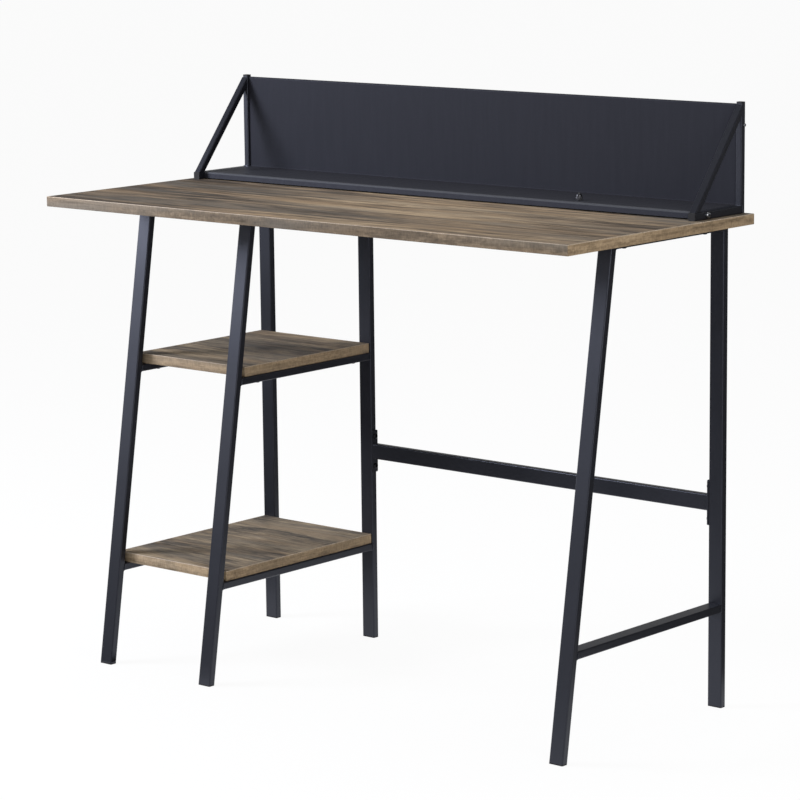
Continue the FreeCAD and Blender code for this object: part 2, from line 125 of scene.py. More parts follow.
class Graph:
    """A node tree, with short calls for the nodes that the finishes and recipes share."""

    def __init__(self, tree: bpy.types.NodeTree) -> None:
        """Start from an empty tree."""
        self.tree = tree
        tree.nodes.clear()

    def node(
        self, kind: str, feeds: dict[str | int, Feed] | None = None, **settings: object
    ) -> bpy.types.Node:
        """Add a node.

        Args:
            kind: The node's type name.
            feeds: What goes into its inputs: a socket to link, or a plain value.
            settings: Properties of the node.

        Returns:
            The new node.
        """
        made = self.tree.nodes.new(kind)
        for name, value in settings.items():
            setattr(made, name, value)
        for key, value in (feeds or {}).items():
            self.feed(made.inputs[key], value)
        return made

    def feed(self, socket: Socket, value: Feed) -> None:
        """Link a socket to an input, or set the input's own value.

        Args:
            socket: The input.
            value: A socket to link, or a plain value.
        """
        if isinstance(value, Socket):
            self.tree.links.new(value, socket)
        else:
            socket.default_value = value

    def math(self, operation: str, first: Feed, second: Feed = 0.0) -> Socket:
        """Result of a math operation on one or two values."""
        return self.node("ShaderNodeMath", {0: first, 1: second}, operation=operation).outputs[0]

    def product(self, first: Feed, *others: Feed) -> Socket:
        """Multiply values.

        Args:
            first: The first value.
            others: One or more values to multiply it by, in order.

        Returns:
            The product.
        """
        for other in others:
            first = self.math("MULTIPLY", first, other)
        return first

    def half(self, value: Socket) -> Socket:
        """Half of a value."""
        return self.product(value, 0.5)

    def negative(self, value: Socket) -> Socket:
        """A value with its sign turned."""
        return self.product(value, -1.0)

    def vector(self, x: Feed, y: Feed, z: Feed = 0.0) -> Socket:
        """Vector of three values."""
        return self.node("ShaderNodeCombineXYZ", {0: x, 1: y, 2: z}).outputs[0]

    def parts(self, vector: Socket) -> dict[str, Socket]:
        """X, Y and Z of a vector, by name."""
        split = self.node("ShaderNodeSeparateXYZ", {0: vector})
        return {axis: split.outputs[axis] for axis in "XYZ"}

    def place(self) -> Socket:
        """Coordinates of the surface in the desk's frame."""
        return self.node("ShaderNodeTexCoord").outputs["Object"]

    def noise(self, vector: Socket, speckle: Speckle) -> Socket:
        """Noise from 0 to 1 at a vector."""
        feeds = {"Scale": speckle.scale, "Detail": speckle.octaves, "Roughness": speckle.fade}
        return self.node("ShaderNodeTexNoise", {"Vector": vector, **feeds}).outputs[0]

    def remap(self, value: Socket, source: Range, target: Range) -> Socket:
        """Value moved from one range to another, and held inside it."""
        feeds = {1: source[0], 2: source[1], 3: target[0], 4: target[1]}
        return self.node("ShaderNodeMapRange", {0: value, **feeds}).outputs[0]

    def ramp(self, value: Socket, stops: Sequence[tuple[float, Colour]], ease: str) -> Socket:
        """Colour that runs through stops.

        Args:
            value: Place on the ramp, from 0 to 1.
            stops: Places and colours, in order.
            ease: How the ramp runs from stop to stop.

        Returns:
            The colour's socket.
        """
        made = self.node("ShaderNodeValToRGB", {0: value})
        made.color_ramp.interpolation = ease
        elements = made.color_ramp.elements
        while len(elements) < len(stops):
            elements.new(1.0)
        for element, (position, colour) in zip(elements, stops):
            element.position = position
            element.color = (*colour, 1.0)
        return made.outputs[0]

    def tone_ramp(self, value: Socket, tones: Tones) -> Socket:
        """Grey that runs smoothly through tones."""
        return self.ramp(value, [(position, (tone, tone, tone)) for position, tone in tones], "B_SPLINE")

    def mix(self, share: Feed, first: Feed, second: Feed, blend: str = "MIX") -> Socket:
        """Two colours mixed by a share of the second."""
        feeds = {0: share, 6: opaque(first), 7: opaque(second)}
        return self.node("ShaderNodeMix", feeds, data_type="RGBA", blend_type=blend).outputs[2]

    def bump(self, height: Socket, strength: float, distance: float) -> Socket:
        """Normal of a surface with small relief."""
        feeds = {"Height": height, "Strength": strength, "Distance": distance}
        return self.node("ShaderNodeBump", feeds).outputs[0]

    def surface(self, feeds: dict[str, Feed]) -> None:
        """End a material in a principled shader with these inputs."""
        shader = self.node("ShaderNodeBsdfPrincipled", feeds)
        self.node("ShaderNodeOutputMaterial", {"Surface": shader.outputs[0]})

    def seen_background(self) -> Socket:
        """Tell the rays that show the background from those that only light the desk.

        Returns:
            1 for rays straight from the camera, mirrored or let through, and 0 for others.
        """
        path = self.node("ShaderNodeLightPath").outputs
        direct = self.math("MAXIMUM", path["Is Camera Ray"], path["Is Glossy Ray"])
        return self.math("MAXIMUM", direct, path["Is Transmission Ray"])


def opaque(value: Feed) -> Feed:
    """A plain colour with its alpha, and anything else as it is."""
    return (*value, 1.0) if isinstance(value, tuple) and len(value) == 3 else value


def bare_material(name: str) -> tuple[bpy.types.Material, Graph]:
    """Make a material with an empty tree.

    Args:
        name: The material's name.

    Returns:
        The material and its tree.
    """
    made = bpy.data.materials.new(name)
    made.use_nodes = True
    return made, Graph(made.node_tree)


@dataclass(frozen=True)
class Finish:
    """A surface treatment that turns into one procedural material."""

    name: str

    def material(self) -> bpy.types.Material:
        """Find the finish's material, or make it at its first use.

        Returns:
            The material.
        """
        found = bpy.data.materials.get(self.name)
        if found is None:
            found, graph = bare_material(self.name)
            self.paint(graph)
        return found

    def paint(self, graph: Graph) -> None:
        """Build the material's nodes."""
        raise NotImplementedError


@dataclass(frozen=True)
class PowderCoat(Finish):
    """Baked paint on steel tube, with a faint orange peel."""

    dark: Colour = (0.0046, 0.0047, 0.0060)
    light: Colour = (0.0066, 0.0067, 0.0086)
    roughness: Range = (0.34, 0.43)
    gloss: float = 0.60
    gloss_tint: Colour = (0.75, 0.80, 1.0)
    haze: float = 0.0
    haze_spread: float = 0.45
    peel: Speckle = Speckle(420.0, 2.0, 0.55)
    peel_range: Range = (0.1, 0.45)
    peel_bump: float = 0.35
    peel_height: float = 0.00006
    cloud: Speckle = Speckle(9.0, 4.0, 0.6)
    cloud_stretch: tuple[float, float, float] = (1.0, 1.0, 1.0)

    def paint(self, graph: Graph) -> None:
        """Lay a cloudy near-black colour under a fine peel.

        Args:
            graph: The material's tree.
        """
        place = graph.place()
        peel = graph.noise(place, self.peel)
        drawn = graph.node("ShaderNodeVectorMath", {0: place, 1: self.cloud_stretch}, operation="MULTIPLY")
        cloud = graph.noise(drawn.outputs[0], self.cloud)
        graph.surface({
            "Base Color": self.tone(graph, cloud),
            "Roughness": graph.remap(graph.product(peel, cloud), self.peel_range, self.roughness),
            "Specular IOR Level": self.gloss,
            "Specular Tint": opaque(self.gloss_tint),
            "Sheen Weight": self.haze,
            "Sheen Roughness": self.haze_spread,
            "Normal": graph.bump(peel, self.peel_bump, self.peel_height),
        })

    def tone(self, graph: Graph, cloud: Socket) -> Socket:
        """Colour of the paint under its cloud."""
        return graph.mix(cloud, self.dark, self.light)


@dataclass(frozen=True)
class SheetCoat(PowderCoat):
    """Paint on flat sheet: rougher, with drawn streaks, a faint haze at a low angle and a painted highlight:
    paler paint along the lip's fold.
    """

    dark: Colour = (0.0156, 0.0160, 0.0208)
    light: Colour = (0.0240, 0.0245, 0.0314)
    roughness: Range = (0.50, 0.64)
    gloss: float = 0.11
    haze: float = 0.012
    peel: Speckle = Speckle(300.0, 2.0, 0.55)
    cloud: Speckle = Speckle(110.0, 4.0, 0.6)
    cloud_stretch: tuple[float, float, float] = (1.0, 0.1, 0.1)
    # Painted highlight: the paler colour laid along the lip's fold, where the bend catches the light
    painted_fold_highlight: Colour = (0.058, 0.060, 0.067)

    def tone(self, graph: Graph, cloud: Socket) -> Socket:
        """Colour of the paint under its cloud, with a painted highlight: paler along the lip's fold."""
        fold = graph.node("ShaderNodeAttribute", attribute_name=FOLD).outputs["Fac"]
        return graph.mix(fold, super().tone(graph, cloud), self.painted_fold_highlight)


@dataclass(frozen=True)
class MouldedPlastic(Finish):
    """Black moulded plastic with a fine spark-eroded grain."""

    dark: Colour = (0.008, 0.008, 0.0095)
    light: Colour = (0.014, 0.014, 0.0165)
    roughness: Range = (0.42, 0.58)
    gloss: float = 0.3
    grain: Speckle = Speckle(1300.0, 2.0, 0.6)
    grain_bump: float = 0.4
    grain_height: float = 0.00005
    cloud: Speckle = Speckle(60.0, 3.0, 0.5)

    def paint(self, graph: Graph) -> None:
        """Lay an even grain with a slight cloud.

        Args:
            graph: The material's tree.
        """
        grain = graph.noise(graph.place(), self.grain)
        cloud = graph.noise(graph.place(), self.cloud)
        graph.surface({
            "Base Color": graph.mix(cloud, self.dark, self.light),
            "Roughness": graph.remap(grain, BUSY, self.roughness),
            "Specular IOR Level": self.gloss,
            "Normal": graph.bump(grain, self.grain_bump, self.grain_height),
        })


@dataclass(frozen=True)
class PlatedSteel(Finish):
    """Plated or blackened steel of a small fastener, with faint turning marks."""

    dark: Colour = (0.24, 0.245, 0.26)
    light: Colour = (0.40, 0.41, 0.43)
    roughness: Range = (0.20, 0.36)
    cloud: Speckle = Speckle(380.0, 4.0, 0.6)
    marks: Speckle = Speckle(900.0, 3.0, 0.7)
    mark_bump: float = 0.15
    mark_height: float = 0.00004

    def paint(self, graph: Graph) -> None:
        """Lay a cloudy metal with fine scratches.

        Args:
            graph: The material's tree.
        """
        cloud = graph.noise(graph.place(), self.cloud)
        marks = graph.noise(graph.place(), self.marks)
        graph.surface({
            "Base Color": graph.mix(cloud, self.dark, self.light),
            "Metallic": 1.0,
            "Roughness": graph.remap(marks, BUSY, self.roughness),
            "Normal": graph.bump(marks, self.mark_bump, self.mark_height),
        })


@dataclass(frozen=True)
class Streaks:
    """Noise drawn out along the grain: cells per metre along and across, octaves, kept range and fade."""

    along: float
    across: float
    octaves: float = 4.0
    keep: Range = BUSY
    fade: float = 0.60


@dataclass(frozen=True)
class Knots:
    """Small dark knots: cells per metre along and across, their reach and how few cells have one."""

    along: float = 3.2
    across: float = 10.0
    reach: Range = (0.05, 0.24)
    rarity: float = 0.62
    depth: float = 0.55


@dataclass(frozen=True)
class OakPrint(Finish):
    """Rustic oak print under a matt laminate: tone bands, streaks, knots, pores and saw marks."""

    plane: GrainPlane = GrainPlane.FACE
    repeat: float = 0.45
    level: float = 0.76
    slip: float = 3.7
    wander: float = 0.05
    tones: Tones = ((0.0, 0.5), (1.0, 0.5))
    ends: Tones = ((0.0, 0.5), (1.0, 0.5))
    length: float = 1.0
    shares: tuple[float, ...] = (0.15, 0.26, 0.24, 0.21, 0.14)
    spread: Range = (0.30, 0.80)
    colours: ColourStops = (
        (0.10, (0.056, 0.046, 0.038)),
        (0.32, (0.118, 0.093, 0.070)),
        (0.50, (0.202, 0.153, 0.106)),
        (0.68, (0.290, 0.218, 0.143)),
        (0.90, (0.410, 0.318, 0.212)),
    )
    grey: Colour = (0.150, 0.136, 0.116)
    tan: Colour = (0.300, 0.205, 0.120)
    sway: Streaks = Streaks(1.5, 5.0, 2.0)
    streaks: Streaks = Streaks(2.0, 24.0, 8.0, (0.40, 0.60), 0.74)
    figure: Streaks = Streaks(4.5, 66.0, 6.0, (0.37, 0.63), 0.70)
    fibres: Streaks = Streaks(14.0, 150.0, 5.0, (0.36, 0.64), 0.66)
    greyed: Streaks = Streaks(2.6, 17.0, 3.0, (0.46, 0.64))
    tanned: Streaks = Streaks(2.2, 25.0, 3.0, (0.48, 0.68))
    checks: Streaks = Streaks(3.2, 85.0, 5.0, (0.57, 0.67), 0.66)
    pores: Streaks = Streaks(34.0, 620.0, 2.0, (0.56, 0.72))
    sawn: Streaks = Streaks(430.0, 8.0, 2.0, (0.36, 0.66))
    knots: Knots | None = None
    grey_share: float = 0.62
    tan_share: float = 0.45
    check_tone: float = 0.55
    pore_tone: float = 0.70
    saw_tone: float = 0.90
    roughness: Range = (0.58, 0.74)
    gloss: float = 0.06
    relief_shares: tuple[float, ...] = (0.5, 0.4, 0.1)
    relief_bump: float = 0.35
    pore_depth: float = 0.00012

    def paint(self, graph: Graph) -> None:
        """Lay the print along its plane.

        Args:
            graph: The material's tree.
        """
        along, lines = self.grain_lines(graph)
        streak, figure, fibre, check, pore, saw, greyed, tanned = (
            self.layer(graph, along, lines, streaks)
            for streaks in (self.streaks, self.figure, self.fibres, self.checks, self.pores, self.sawn,
                            self.greyed, self.tanned)
        )
        layers = (self.band(graph, lines), self.end_tone(graph), streak, figure, fibre)
        tone = graph.remap(self.weighed(graph, layers, self.shares), self.spread, UNIT)
        if self.knots is not None:
            tone = graph.product(tone, self.knot_shade(graph, along, lines, self.knots))
        colour = graph.ramp(tone, self.colours, "EASE")
        colour = graph.mix(graph.product(greyed, self.grey_share), colour, self.grey)
        colour = graph.mix(graph.product(tanned, self.tan_share), colour, self.tan)
        pores, saws, checks = (
            graph.remap(mark, UNIT, (1.0, deepest))
            for mark, deepest in ((pore, self.pore_tone), (saw, self.saw_tone), (check, self.check_tone))
        )
        shade = graph.product(pores, saws, checks)
        relief = self.weighed(graph, (fibre, pores, saws), self.relief_shares)
        graph.surface({
            "Base Color": graph.mix(1.0, colour, graph.vector(shade, shade, shade), "MULTIPLY"),
            "Roughness": graph.remap(streak, UNIT, self.roughness),
            "Specular IOR Level": self.gloss,
            "Normal": graph.bump(relief, self.relief_bump, self.pore_depth),
        })

    def grain_lines(self, graph: Graph) -> tuple[Socket, Socket]:
        """Coordinates along and across the grain.

        Args:
            graph: The material's tree.

        Returns:
            The place along the grain, and the place across it on wandering lines.
        """
        axis = graph.parts(graph.place())
        along_axis, across_axis, shift_axis = self.plane.value
        shift = graph.product(axis[shift_axis], self.repeat / self.level)
        along = graph.math("ADD", axis[along_axis], graph.product(shift, self.slip))
        across = graph.math("SUBTRACT", shift, axis[across_axis])
        sway = self.stretched(graph, along, across, self.sway)
        return along, graph.math("ADD", across, graph.product(sway, self.wander))

    def cells(self, graph: Graph, along: Socket, across: Socket, counts: Streaks | Knots) -> Socket:
        """Grain coordinates counted in cells along and across."""
        return graph.vector(graph.product(along, counts.along), graph.product(across, counts.across))

    def stretched(self, graph: Graph, along: Socket, across: Socket, streaks: Streaks) -> Socket:
        """Noise of one set of streaks, as it comes."""
        speckle = Speckle(octaves=streaks.octaves, fade=streaks.fade)
        return graph.noise(self.cells(graph, along, across, streaks), speckle)

    def layer(self, graph: Graph, along: Socket, across: Socket, streaks: Streaks) -> Socket:
        """Noise of one set of streaks, spread from 0 to 1 over the range it keeps."""
        return graph.remap(self.stretched(graph, along, across, streaks), streaks.keep, UNIT)

    def knot_shade(self, graph: Graph, along: Socket, across: Socket, knots: Knots) -> Socket:
        """Shade of the knots.

        Args:
            graph: The material's tree.
            along: The place along the grain.
            across: The place across it.
            knots: The knots' sizes.

        Returns:
            1 between the knots, and less in them.
        """
        vector = self.cells(graph, along, across, knots)
        nearest = graph.node("ShaderNodeTexVoronoi", {"Vector": vector, "Scale": 1.0})
        near = graph.remap(nearest.outputs["Distance"], knots.reach, (knots.depth, 0.0))
        chance = graph.parts(nearest.outputs["Color"])["X"]
        chosen = graph.math("GREATER_THAN", chance, knots.rarity)
        return graph.math("SUBTRACT", 1.0, graph.product(near, chosen))

    def band(self, graph: Graph, lines: Socket) -> Socket:
        """Tone of the print's broad bands, which repeat across the board.

        Args:
            graph: The material's tree.
            lines: The place across the grain.

        Returns:
            The tone.
        """
        middle = graph.math("SUBTRACT", lines, self.wander / 2)
        turn = graph.math("ADD", graph.math("DIVIDE", middle, self.repeat), 0.5)
        return graph.tone_ramp(graph.math("FRACT", turn), self.tones)

    def end_tone(self, graph: Graph) -> Socket:
        """Tone of the print from one end of the board to the other.

        Args:
            graph: The material's tree.

        Returns:
            The tone.
        """
        place = graph.parts(graph.place())[self.plane.value[0]]
        turn = graph.math("ADD", graph.math("DIVIDE", place, self.length), 0.5)
        return graph.tone_ramp(turn, self.ends)

    def weighed(self, graph: Graph, layers: Sequence[Socket], shares: Sequence[float]) -> Socket:
        """Weighted sum of values.

        Args:
            graph: The material's tree.
            layers: The values.
            shares: The weight of each.

        Returns:
            The sum.
        """
        total = graph.product(layers[0], shares[0])
        for layer, share in zip(layers[1:], shares[1:]):
            total = graph.math("ADD", total, graph.product(layer, share))
        return total


@dataclass(frozen=True)
class FacePrint(OakPrint):
    """Print of a board's flats, with broad bands and knots."""

    tones: Tones = ((0.0, 0.52), (0.2, 0.44), (0.34, 0.36), (0.5, 0.74), (0.6, 0.68), (0.72, 0.46),
                    (0.84, 0.22), (0.93, 0.5), (1.0, 0.52))
    knots: Knots | None = Knots()


@dataclass(frozen=True)
class DesktopPrint(FacePrint):
    """Print of the desktop, darker towards its ends."""

    name: str = "oak_print_desktop"
    ends: Tones = ((0.0, 0.0), (0.14, 0.04), (0.32, 0.52), (0.50, 1.0), (0.72, 0.97), (1.0, 0.42))


@dataclass(frozen=True)
class ShelfPrint(FacePrint):
    """Print of the shelves: greyer, with bolder streaks."""

    name: str = "oak_print_shelf"
    shares: tuple[float, ...] = (0.15, 0.20, 0.33, 0.16, 0.16)
    spread: Range = (0.25, 0.75)
    colours: ColourStops = (
        (0.10, (0.062, 0.055, 0.049)),
        (0.32, (0.128, 0.108, 0.086)),
        (0.50, (0.218, 0.175, 0.126)),
        (0.68, (0.304, 0.244, 0.168)),
        (0.90, (0.420, 0.342, 0.240)),
    )
    streaks: Streaks = Streaks(3.0, 15.0, 8.0, (0.39, 0.61), 0.74)
    figure: Streaks = Streaks(8.0, 52.0, 6.0, (0.34, 0.66), 0.70)


@dataclass(frozen=True)
class ShelfEdgePrint(OakPrint):
    """Print of the shelves' long edge bands: short in the grain, with strong saw marks."""

    name: str = "oak_print_shelf_edge"
    plane: GrainPlane = GrainPlane.LONG_EDGE
    wander: float = 0.01
    spread: Range = (0.25, 0.75)
    colours: ColourStops = (
        (0.10, (0.160, 0.113, 0.064)),
        (0.40, (0.277, 0.201, 0.120)),
        (0.60, (0.346, 0.254, 0.155)),
        (0.90, (0.450, 0.338, 0.212)),
    )
    streaks: Streaks = Streaks(48.0, 120.0)
    fibres: Streaks = Streaks(170.0, 240.0)
    sawn: Streaks = Streaks(460.0, 90.0, 3.0, (0.40, 0.62))
    saw_tone: float = 0.82
    gloss: float = 0.2


@dataclass(frozen=True)
class DesktopEdgePrint(ShelfEdgePrint):
    """Print of the desktop's long edge bands, with painted light: darker and softer than the shelves' edge
    bands, and paler at the left end, where the key light falls stronger.
    """

    name: str = "oak_print_desktop_edge"
    # Painted light: the edge is paler at the left end, nearer the key light, and darker to the right
    ends: Tones = ((0.0, 0.95), (0.35, 0.25), (0.55, 0.0), (0.75, 0.05), (1.0, 0.45))
    spread: Range = (0.10, 0.90)
    colours: ColourStops = (
        (0.10, (0.076, 0.057, 0.037)),
        (0.34, (0.132, 0.099, 0.066)),
        (0.60, (0.229, 0.173, 0.116)),
        (0.90, (0.300, 0.232, 0.160)),
    )


@dataclass(frozen=True)
class ShortEdgePrint(ShelfEdgePrint):
    """Print of the short edge bands."""

    name: str = "oak_print_short_edge"
    plane: GrainPlane = GrainPlane.SHORT_EDGE
    colours: ColourStops = (
        (0.10, (0.128, 0.090, 0.053)),
        (0.40, (0.250, 0.179, 0.107)),
        (0.60, (0.330, 0.239, 0.145)),
        (0.90, (0.436, 0.325, 0.205)),
    )
    grey: Colour = (0.220, 0.165, 0.105)
    tan: Colour = (0.340, 0.235, 0.135)


@dataclass(frozen=True)
class ArrisHighlightPrint(ShelfEdgePrint):
    """Arris with a painted highlight: a pale print on the upward faces of the bevel, where the edge catches
    the light.
    """

    name: str = "oak_print_arris_highlight"
    colours: ColourStops = (
        (0.10, (0.300, 0.238, 0.180)),
        (0.50, (0.420, 0.340, 0.262)),
        (0.90, (0.560, 0.465, 0.370)),
    )
    grey: Colour = (0.36, 0.31, 0.25)
    tan: Colour = (0.44, 0.34, 0.24)


FRAME_PAINT = PowderCoat("charcoal_powder_coat")
TRAY_PAINT = SheetCoat("charcoal_sheet_coat")
PLASTIC = MouldedPlastic("black_moulded_plastic")
ZINC = PlatedSteel("bright_zinc_plate")
BLACK_OXIDE = PlatedSteel(
    "black_oxide", dark=(0.016, 0.016, 0.019), light=(0.034, 0.034, 0.040), roughness=(0.3, 0.5)
)
DARK_PLATE = PlatedSteel(
    "dark_plate", dark=(0.045, 0.045, 0.050), light=(0.085, 0.085, 0.092), roughness=(0.30, 0.46)
)


def smooth(mesh: bpy.types.Mesh, crease: float) -> None:
    """Shade a mesh smooth, and keep edges past an angle in degrees sharp."""
    mesh.shade_smooth()
    mesh.set_sharp_from_angle(angle=math.radians(crease))


def keep_result(piece: bpy.types.Object, modifier: bpy.types.Modifier, crease: float) -> None:
    """Turn a modifier's result into its piece's plain mesh.

    Args:
        piece: The object that has the modifier.
        modifier: The modifier, which is removed.
        crease: Angle in degrees past which an edge stays sharp.
    """
    depsgraph = bpy.context.evaluated_depsgraph_get()
    finished = bpy.data.meshes.new_from_object(piece.evaluated_get(depsgraph))
    piece.modifiers.remove(modifier)
    piece.data = finished
    smooth(finished, crease)


class Recipe:
    """A geometry node tree with named inputs, which turns a bare piece into its finished mesh."""

    def __init__(self, name: str) -> None:
        """Start a tree with a geometry input and output.

        Args:
            name: The tree's name.
        """
        self.tree = bpy.data.node_groups.new(name, "GeometryNodeTree")
        self.graph = Graph(self.tree)
        for way in ("INPUT", "OUTPUT"):
            self.tree.interface.new_socket("Geometry", in_out=way, socket_type="NodeSocketGeometry")
        self.identifiers: dict[str, str] = {}

    def inputs(self, kinds: dict[str, str]) -> dict[str, Socket]:
        """Add named inputs.

        Args:
            kinds: Socket type of each input, by name.

        Returns:
            The sockets that give their values inside the tree, with the geometry among them.
        """
        for name, kind in kinds.items():
            made = self.tree.interface.new_socket(name, in_out="INPUT", socket_type=kind)
            self.identifiers[name] = made.identifier
        entry = self.graph.node("NodeGroupInput")
        return {name: entry.outputs[name] for name in ("Geometry", *kinds)}

    def end(self, geometry: Socket, material: Socket) -> None:
        """Close the tree: make instances real and give them their material.

        Args:
            geometry: What the tree has made.
            material: The material's input.
        """
        real = self.graph.node("GeometryNodeRealizeInstances", {0: geometry})
        feeds = {"Geometry": real.outputs[0], "Material": material}
        dressed = self.graph.node("GeometryNodeSetMaterial", feeds)
        self.graph.node("NodeGroupOutput", {0: dressed.outputs[0]})

    def apply(self, piece: bpy.types.Object, values: dict[str, Feed], crease: float) -> None:
        """Run the tree on a piece and keep the result as its plain mesh.

        Args:
            piece: The object whose mesh goes in.
            values: Values of the named inputs.
            crease: Angle in degrees past which an edge stays sharp.
        """
        modifier = piece.modifiers.new(self.tree.name, "NODES")
        modifier.node_group = self.tree
        for name, value in values.items():
            modifier[self.identifiers[name]] = value
        keep_result(piece, modifier, crease)


class ScrewRecipe(Recipe):
    """Screws on points: a domed head with a recess, and a threaded shank along each point's aim."""

    SEGMENTS = 40
    RINGS = 20
    LEAST_REACH = 0.001
    HEX_SIDES = 6
    BLADE_SHARE = 0.24
    SHANK_SIDES = 20
    STEPS_PER_TURN = 6.0
    ROOT_SHARE = 0.78
    TIP_LENGTH = 0.8
    TIP_SHARE = 0.45
    SEED = 7

    def __init__(self, drive: Drive) -> None:
        """Build the tree for one kind of recess.

        Args:
            drive: The recess.
        """
        super().__init__(f"{drive.value}_screw_recipe")
        lengths = ("Head Width", "Head Height", "Drive Width", "Drive Depth", "Shank Width", "Shank Length")
        kinds = {name: "NodeSocketFloat" for name in (*lengths, "Pitch", "Squareness")}
        self.given = self.inputs({**kinds, "Material": "NodeSocketMaterial"})
        tool = self.hex_tool() if drive is Drive.HEX else self.cross_tool()
        feeds = {"Mesh 1": self.head(), "Mesh 2": tool}
        cut = self.graph.node("GeometryNodeMeshBoolean", feeds, operation="DIFFERENCE", solver="EXACT")
        join = self.graph.node("GeometryNodeJoinGeometry")
        for half in (cut.outputs[0], self.shank()):
            self.graph.feed(join.inputs[0], half)
        self.end(self.on_points(join.outputs[0]), self.given["Material"])

    def points(self) -> dict[str, Socket]:
        """X, Y and Z of each point of a shape."""
        return self.graph.parts(self.graph.node("GeometryNodeInputPosition").outputs[0])

    def turned(
        self, shape: bpy.types.Node, axis: dict[str, Socket], radius: Socket, height: Socket
    ) -> Socket:
        """A round shape with its points set to a radius and a height."""
        place = self.graph.vector(*(self.graph.product(axis[name], radius) for name in "XY"), height)
        return self.graph.node("GeometryNodeSetPosition", {0: shape.outputs[0], "Position": place}).outputs[0]

    def head(self) -> Socket:
        """Flatten a ball to the seat above zero, and square it into a head below.

        Returns:
            The head.
        """
        graph = self.graph
        feeds = {"Segments": self.SEGMENTS, "Rings": self.RINGS, "Radius": 1.0}
        ball = graph.node("GeometryNodeMeshUVSphere", feeds)
        axis = self.points()
        flat = graph.vector(axis["X"], axis["Y"])
        reach = graph.node("ShaderNodeVectorMath", {0: flat}, operation="LENGTH")
        spread = graph.math("MAXIMUM", reach.outputs["Value"], self.LEAST_REACH)
        spread = graph.math("POWER", spread, graph.math("SUBTRACT", self.given["Squareness"], 1.0))
        spread = graph.product(spread, graph.half(self.given["Head Width"]))
        drop = graph.math("MAXIMUM", graph.negative(axis["Z"]), 0.0)
        drop = graph.math("POWER", drop, self.given["Squareness"])
        drop = graph.product(drop, graph.negative(self.given["Head Height"]))
        return self.turned(ball, axis, spread, drop)

    def at_crown(self, tool: bpy.types.Node) -> Socket:
        """A recess tool moved to the head's crown."""
        seat = self.graph.vector(0.0, 0.0, self.graph.negative(self.given["Head Height"]))
        return self.graph.node("GeometryNodeTransform", {0: tool.outputs[0], "Translation": seat}).outputs[0]

    def hex_tool(self) -> Socket:
        """Make the six-sided bar that cuts a socket.

        Returns:
            The bar.
        """
        radius = self.graph.math("DIVIDE", self.given["Drive Width"], math.sqrt(3.0))
        depth = self.graph.product(self.given["Drive Depth"], 2.0)
        feeds = {"Vertices": self.HEX_SIDES, "Radius": radius, "Depth": depth}
        return self.at_crown(self.graph.node("GeometryNodeMeshCylinder", feeds))

    def cross_tool(self) -> Socket:
        """Make the two blades that cut a cross.

        Returns:
            The blades as one shape.
        """
        graph = self.graph
        width = self.given["Drive Width"]
        blade = graph.product(width, self.BLADE_SHARE)
        depth = graph.product(self.given["Drive Depth"], 2.0)
        union = graph.node("GeometryNodeMeshBoolean", operation="UNION", solver="EXACT")
        for size in (graph.vector(width, blade, depth), graph.vector(blade, width, depth)):
            cube = graph.node("GeometryNodeMeshCube", {"Size": size})
            graph.feed(union.inputs["Mesh 2"], self.at_crown(cube))
        return union.outputs[0]

    def shank(self) -> Socket:
        """Make a bar above zero with a helical ridge and a drawn-in tip.

        Returns:
            The shank.
        """
        graph = self.graph
        length, width, pitch = (self.given[name] for name in ("Shank Length", "Shank Width", "Pitch"))
        steps = graph.product(graph.math("DIVIDE", length, pitch), self.STEPS_PER_TURN)
        feeds = {"Vertices": self.SHANK_SIDES, "Side Segments": steps, "Radius": 1.0, "Depth": length}
        bar = graph.node("GeometryNodeMeshCylinder", feeds)
        axis = self.points()
        rise = graph.math("ADD", axis["Z"], graph.half(length))
        angle = graph.math("DIVIDE", graph.math("ARCTAN2", axis["Y"], axis["X"]), math.tau)
        turn = graph.math("FRACT", graph.math("SUBTRACT", graph.math("DIVIDE", rise, pitch), angle))
        ridge = graph.math("ABSOLUTE", graph.math("SUBTRACT", turn, 0.5))
        ridge = graph.remap(ridge, (0.0, 0.5), (self.ROOT_SHARE, 1.0))
        left = graph.math("DIVIDE", graph.math("SUBTRACT", length, rise), width)
        taper = graph.remap(left, (0.0, self.TIP_LENGTH), (self.TIP_SHARE, 1.0))
        radius = graph.product(graph.product(ridge, taper), graph.half(width))
        return self.turned(bar, axis, radius, rise)

    def on_points(self, screw: Socket) -> Socket:
        """Set a screw on each point, turned to its aim and spun by chance as a fitter leaves it.

        Args:
            screw: The screw.

        Returns:
            The screws, as instances.
        """
        graph = self.graph
        aim = graph.node("GeometryNodeInputNamedAttribute", {"Name": AIM}, data_type="FLOAT_VECTOR")
        turned = graph.node("FunctionNodeAlignRotationToVector", {"Vector": aim.outputs[0]}, axis="Z")
        chance = graph.node("FunctionNodeRandomValue", {"Seed": self.SEED}, data_type="FLOAT")
        graph.feed(chance.inputs[2], 0.0)
        graph.feed(chance.inputs[3], math.tau)
        turn = {"Axis": (0.0, 0.0, 1.0), "Angle": chance.outputs[1]}
        spin = graph.node("FunctionNodeAxisAngleToRotation", turn)
        turns = {0: turned.outputs[0], 1: spin.outputs[0]}
        spun = graph.node("FunctionNodeRotateRotation", turns, rotation_space="LOCAL")
        feeds = {"Points": self.given["Geometry"], "Instance": screw, "Rotation": spun.outputs[0]}
        return graph.node("GeometryNodeInstanceOnPoints", feeds).outputs[0]


